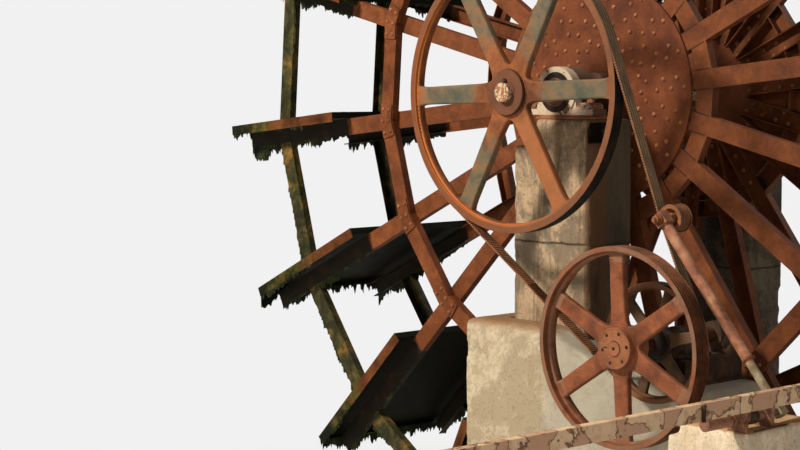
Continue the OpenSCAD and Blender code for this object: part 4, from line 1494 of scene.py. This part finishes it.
# %% Dots on the rim
DOTS, FIRST_DOT, DOT_STEP, DOT_R = 8, 186.6, 1.67, 0.6790
DOT = pattern("dot", [(0.0044, SUNK), (0.0044, 0.0010), (0.0030, 0.0013)], 8)
ways = [toward(math.radians(FIRST_DOT + DOT_STEP * k)) for k in range(DOTS)]
dots = [((way.x * DOT_R, BELT_PLANE[0] + 0.0130, AXLE.z + way.y * DOT_R), NEAR) for way in ways]
fasten("rim_dots", DOT, dots, SEAL, "wheel", 0.2, 23)

# %% [markdown]
# ## Worn concrete
#
# Old concrete has no straight edge left. A bevel would round its edges evenly, and sculpting by hand
# couldn't be run again. Instead each block is turned into a skin of small faces with a Remesh
# modifier and smoothed a few rounds, which rounds the edges only. How far a point has moved tells how
# near an edge it is, so the chips are strongest there. All wear goes inwards from the cast shape.

# %% Skin and smoothing


def smoothed(points, ends, rounds):
    """Positions after each point has moved to the mean of its neighbours some times."""
    first, second = ends[:, 0], ends[:, 1]
    degree = np.bincount(ends.ravel(), minlength=len(points)).reshape(-1, 1)
    for _ in range(rounds):
        total = np.zeros_like(points)
        for axis in (X, Y, Z):
            total[:, axis] = (np.bincount(first, points[second, axis], len(points))
                              + np.bincount(second, points[first, axis], len(points)))
        points = total / degree
    return points


def vectors(mesh, attribute):
    """One row of three numbers for each vertex."""
    rows = np.empty(len(mesh.vertices) * 3)
    mesh.vertices.foreach_get(attribute, rows)
    return rows.reshape(-1, 3)


def place_points(mesh, points):
    """Moves the mesh's vertices."""
    mesh.vertices.foreach_set("co", points.ravel())
    mesh.update()


def skin(node, voxel):
    """The node's block as a mesh of small even faces."""
    source = bpy.data.objects.new(node + "_cast", evaluated(NODES[node]))
    bpy.context.collection.objects.link(source)
    remesh = source.modifiers.new("skin", "REMESH")
    remesh.mode = "VOXEL"
    remesh.voxel_size = voxel
    mesh = evaluated(source)
    bpy.data.objects.remove(source)
    return mesh


print("skin maker ready")

# %% [markdown]
# ## Worn concrete: pits and chips
#
# Frost and knocks pit the faces and break the edges. A Displace modifier could push the skin in, but
# it can't tell an edge from a face. So two noises carve it here: a fine one pits every face by a
# couple of millimetres, and a coarse one takes bites out of the edges. Flat tops stay nearly smooth,
# because the bearings stand on them.

# %% Pits and chips
PIT, PIT_SCALE, CHIP_SCALE, CHIP_SHIFT = 0.0022, 9.0, 4.5, Vector((7, 3, 1))


def worn_block(node, voxel, material, rounds, chip_depth):
    """A skin of small faces over a cast block, with rounded and chipped edges."""
    mesh = skin(node, voxel)
    start = vectors(mesh, "co")
    ends = np.empty(len(mesh.edges) * 2, dtype=np.int64)
    mesh.edges.foreach_get("vertices", ends)
    soft = smoothed(start, ends.reshape(-1, 2), rounds)
    place_points(mesh, soft)
    normals = vectors(mesh, "normal")
    edge = np.clip(np.linalg.norm(soft - start, axis=1) / (voxel * 0.8), 0, 1)
    depth = np.empty(len(soft))
    for i, point in enumerate(soft):
        place = Vector(point)
        rough = noise.fractal(place * PIT_SCALE, 0.7, 2.1, 5)
        chips = max(0.0, noise.fractal(place * CHIP_SCALE + CHIP_SHIFT, 0.8, 2.2, 4) - 0.05)
        depth[i] = PIT * (0.6 + rough) + chip_depth * chips * edge[i]
    flat_top = np.clip((normals[:, Z] - 0.7) / 0.25, 0, 1) * (1 - edge)
    depth = np.clip(depth, 0, None) * (1 - 0.9 * flat_top)
    place_points(mesh, soft - normals * depth[:, None])
    obj = add_data(node + "_worn", mesh, material, "piers", 60)
    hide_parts(node)
    print(obj.name, len(soft), "points")


worn_block("near_pier", 0.012, PIER_CONCRETE, 3, 0.060)
worn_block("far_pier", 0.018, FAR_CONCRETE, 3, 0.075)
worn_block("plinth_block", 0.014, BLOCK_CONCRETE, 7, 0.030)
worn_block("small_block", 0.012, SMALL_CONCRETE, 2, 0.012)

# %% [markdown]
# ## Blade lips
#
# Each pan is stiffened by a flat strip inside both of its long lips. An Array modifier could turn one
# strip round the axle. The grid already names every corner, so the thirty-six boxes are written down
# in one go and need no modifier.

# %% Blade lips
FAR_BLADE_Y, STRIP = mirrored(BLADE_Y), 0.005
LIP_OUT, LIP_IN = -0.0510, -0.0300
strips = [[on_wheel(radius, angle, y, across)
           for radius in (BLADE_R0, TIP_R) for y in sides for across in (LIP_OUT, LIP_IN)]
          for angle in spoke_angles()
          for sides in ((BLADE_Y, BLADE_Y + STRIP), (FAR_BLADE_Y - STRIP, FAR_BLADE_Y))]
boxes("blade_lip_strips", strips, BLADE_STEEL, "wheel")
print(len(strips), "lip strips")

# %% [markdown]
# ## Weed: fringe and strands
#
# Weed grows where steel stays wet and hangs straight down as the wheel stands. Hair particles would
# give thousands of single strands, but they don't travel in an exported file. A ragged ribbon along
# the edge gives the mass of it, and thin three-sided strands break up its outline. Noise decides
# where it grows long, so that tufts and bare stretches follow each other.

# %% Fringe and strands
SECTION, FRINGE_STEP, FRINGE_T = 5, 0.007, 0.004


def tuft(place, seed):
    """How long weed hangs at a point, from 0 to 1, in tufts with bare stretches between."""
    broad = noise.noise(place * 5.0 + Vector((seed, 0, 0)))
    fine = noise.fractal(place * 30.0 + Vector((0, seed, 0)), 0.4, 2.3, 4)
    return max(0.04, min(1.0, 0.42 + 0.8 * broad + 0.5 * fine))


def fringe(verts, faces, start, end, longest, lean, seed):
    """A ragged hanging ribbon along an edge."""
    count = max(2, int((end - start).length / FRINGE_STEP))
    side = (end - start).cross(UP)
    side = side.normalized() * FRINGE_T if side.length > 1e-4 else Vector((0, FRINGE_T, 0))
    base = len(verts)
    for i in range(count + 1):
        point = start.lerp(end, i / count)
        drop = (lean - UP) * (0.004 + longest * tuft(point, seed))
        verts += [point - side - drop * 0.1, point + side - drop * 0.1,
                  point + side * 0.7 + drop * 0.6, point + drop, point - side * 0.7 + drop * 0.6]
    for i in range(count):
        a, b = base + i * SECTION, base + (i + 1) * SECTION
        for k in range(SECTION):
            m = (k + 1) % SECTION
            faces.append((a + k, a + m, b + m, b + k))
    faces += [tuple(first + k for k in range(SECTION)) for first in (base, base + count * SECTION)]


def strand(verts, faces, top, length, width, sway):
    """A thin tapering three-sided strand that hangs from a point."""
    base = len(verts)
    for share, thick in ((-0.08, 1.0), (0.5, 0.75)):
        bend = share * share * length * 0.3
        for k in range(3):
            a = sway[2] + 2 * math.pi * k / 3
            verts.append(top + Vector((sway[0] * bend + width * thick * math.cos(a),
                                       sway[1] * bend + width * thick * math.sin(a), -share * length)))
    verts.append(top + Vector((sway[0] * length * 0.3, sway[1] * length * 0.3, -length)))
    faces.append((base, base + 1, base + 2))
    for k in range(3):
        m = (k + 1) % 3
        faces += [(base + k, base + m, base + 3 + m, base + 3 + k), (base + 3 + k, base + 3 + m, base + 6)]


print("weed maker ready")

# %% [markdown]
# ## Weed: where it hangs
#
# Weed hangs from the lowest edges of each pan, and longer towards the rim, which stays wet longest.
# Placing it by hand would mean judging each pan. Which edge is lowest depends on how the spoke
# stands, so the cosine of its angle can decide. On the outer rings it is a short beard along the side
# that looks down.

# %% Where weed hangs
INSET, BACK_LIP = 0.006, 0.004
RING_FROM, RING_TO = -0.40, 0.36
PAN_LENGTHS = ((2.12, 2.38, 0.35), (2.38, 2.70, 0.75), (2.70, 3.09, 1.0))


def blade_edges(angle):
    """Lowest edges of one pan as (start, end, how much hangs there)."""
    lip = -CHANNEL_D / 2
    low = min((PAN_BACK, lip), key=lambda across: across * math.cos(angle))
    edges, rows = [], [(BLADE_Y + INSET, low, 0.75), (FAR_BLADE_Y - INSET, low, 1.0)]
    if math.cos(angle) < 0:
        rows += [(y, CHANNEL_D / 2 - 0.003, 1.0) for y in (SPOKE_Y + INSET, mirrored(SPOKE_Y) - INSET)]
    for y, across, weight in rows:
        for r0, r1, share in PAN_LENGTHS:
            edges.append((on_wheel(r0, angle, y, across), on_wheel(r1, angle, y, across),
                          weight * share * abs(math.cos(angle))))
    tip_low = math.sin(angle) < 0.15
    edge, share = (TIP_R - INSET, 1.0) if tip_low else (BLADE_R0 + INSET, 0.30)
    for across in (PAN_BACK + BACK_LIP, lip - BACK_LIP):
        edges.append((on_wheel(edge, angle, BLADE_Y + 0.01, across),
                      on_wheel(edge, angle, FAR_BLADE_Y - 0.01, across), share))
    return edges


def ring_edges():
    """Edges of the outer rings as (start, end, how much hangs there, way out)."""
    edges = []
    for k in range(SPOKES):
        middle = FIRST_SPOKE + (k + 0.5) * STEP
        out = Vector((math.cos(middle), 0, math.sin(middle)))
        for side in (-1, 1):
            radius = OUTER_MID + side * (CHANNEL_D / 2 - 0.004)
            share = 1.0 if side * out.z < 0.35 else 0.0
            for y in (SPOKE_Y + INSET, mirrored(SPOKE_Y) - INSET):
                edges.append((on_wheel(radius, middle, y, RING_FROM), on_wheel(radius, middle, y, RING_TO),
                              share, out * side))
    return edges


def hang(name, edges, longest, lean_share):
    """Fringe and strands along edges as one mesh."""
    verts, faces = [], []
    for start, end, share, out in edges:
        if share < 0.1:
            continue
        seed = rng.uniform(0, 50)
        fringe(verts, faces, start, end, longest * share, out * lean_share, seed)
        for _ in range(int((end - start).length * 60 * share)):
            point = start.lerp(end, rng.random())
            length = longest * share * (0.2 + 1.0 * tuft(point, seed)) * rng.uniform(0.3, 1.0)
            sway = (rng.uniform(-0.5, 0.5), rng.uniform(-0.4, 0.4), rng.uniform(0, 6.28))
            strand(verts, faces, point, length, rng.uniform(0.0015, 0.004), sway)
    add_mesh(name, verts, faces, WEED, "wheel", 60)
    print(name, len(faces), "faces")


rng = random.Random(41)
still = Vector((0, 0, 0))
hang("blade_weed", [(*edge, still) for angle in spoke_angles() for edge in blade_edges(angle)], 0.100, 0.0)
hang("ring_weed", ring_edges(), 0.034, 0.45)

# %% [markdown]
# ## Camera
#
# The view was worked out from the photograph: a circle on the wheel looks like an ellipse, and the
# rings, the axle and the sheaves together leave only one place where the camera can have stood.
# Matching it by eye in the viewport would do as well, only never so closely.

# %% Camera
data = bpy.data.cameras.new("photo_camera")
data.sensor_width = 36.0
data.lens = 82.15
camera = bpy.data.objects.new("photo_camera", data)
camera.location = (6.466, -7.263, AXLE.z + 0.018)
camera.rotation_euler = (math.radians(90 - 4.266), 0, math.radians(47.331))
bpy.context.collection.objects.link(camera)
bpy.context.scene.camera = camera
print("camera", round((camera.location - AXLE).length, 2), "m from the axle")

# %% [markdown]
# ## Light
#
# A hard sun lights the real wheel. A sun lamp would copy it with hard shadows, but rust shows its
# colours better in soft light. So one strong warm square lamp shines from the left and above, a weak
# one fills in from the right and a third draws a rim from behind. The world gives an even glow, and
# the camera alone sees it as a plain pale backdrop.

# %% Light
PAPER = (0.88, 0.88, 0.88)


def area_light(name, place, target, size, power, colour):
    """Soft square light."""
    data = bpy.data.lights.new(name, "AREA")
    data.shape, data.size, data.energy, data.color = "SQUARE", size, power, colour
    lamp = bpy.data.objects.new(name, data)
    lamp.location = place
    lamp.rotation_euler = (Vector(target) - Vector(place)).to_track_quat("-Z", "Y").to_euler()
    bpy.context.collection.objects.link(lamp)


def white_world(strength):
    """Even light, with a plain pale backdrop for the camera."""
    world = bpy.data.worlds.new("studio")
    world.use_nodes = True
    tree = world.node_tree
    light = tree.nodes["Background"]
    light.inputs["Color"].default_value = (1.0, 0.95, 0.88, 1.0)
    light.inputs["Strength"].default_value = strength
    shown = tree.nodes.new("ShaderNodeBackground")
    shown.inputs["Color"].default_value = (*PAPER, 1.0)
    path = tree.nodes.new("ShaderNodeLightPath")
    both = tree.nodes.new("ShaderNodeMixShader")
    wire(tree.links, ((path.outputs["Is Camera Ray"], both.inputs["Fac"]),
                      (light.outputs["Background"], both.inputs[1]),
                      (shown.outputs["Background"], both.inputs[2]),
                      (both.outputs["Shader"], tree.nodes["World Output"].inputs["Surface"])))
    bpy.context.scene.world = world


area_light("key", (-3.5, -9.0, 10.0), (0, 0, 2.9), 1.5, 2250, (1.0, 0.92, 0.80))
area_light("fill", (10.0, -7.0, 5.5), (0, 0, 2.9), 6.0, 190, (1.0, 0.96, 0.90))
area_light("rim", (2.0, 9.0, 9.5), (0, 0, 3.0), 5.0, 330, (1.0, 0.98, 0.95))
white_world(0.27)
print("three lamps and a pale world")

# %% [markdown]
# ## Floor
#
# The piers stand on a plain pale floor that takes their shadow. Where a floor ends there is an edge
# against the backdrop. A larger floor would only move it, so away from the piers the floor's colour
# fades into the backdrop's own, for the camera alone.

# %% Floor
FLOOR_HALF, FADE_START, FADE_END = 60.0, 2.5, 8.0


def floor():
    """Plain pale floor under the piers."""
    data = bpy.data.meshes.new("floor")
    corners = [(x * FLOOR_HALF, y * FLOOR_HALF, 0) for x, y in ((-1, -1), (1, -1), (1, 1), (-1, 1))]
    data.from_pydata(corners, [], [(0, 1, 2, 3)])
    obj = bpy.data.objects.new("floor", data)
    bpy.context.collection.objects.link(obj)
    g = Graph("floor_white")
    lit = g.finish((0.80, 0.80, 0.79), 0.9, None, 0.0, 0.1)
    across = g.calc("SQRT", g.plus(g.calc("POWER", g.axis("X"), 2.0), g.calc("POWER", g.axis("Y"), 2.0)))
    ray = g.add("ShaderNodeLightPath").outputs["Is Camera Ray"]
    away = g.times(g.step(across, FADE_START, FADE_END), ray)
    glow = g.add("ShaderNodeEmission")
    glow.inputs["Color"].default_value = (*PAPER, 1.0)
    both = g.add("ShaderNodeMixShader")
    wire(g.tree.links, ((away, both.inputs["Fac"]), (g.shader.outputs["BSDF"], both.inputs[1]),
                        (glow.outputs["Emission"], both.inputs[2]),
                        (both.outputs["Shader"], g.tree.nodes["Material Output"].inputs["Surface"])))
    data.materials.append(lit)


floor()
bpy.context.scene.view_settings.view_transform = "Standard"
print("floor laid")
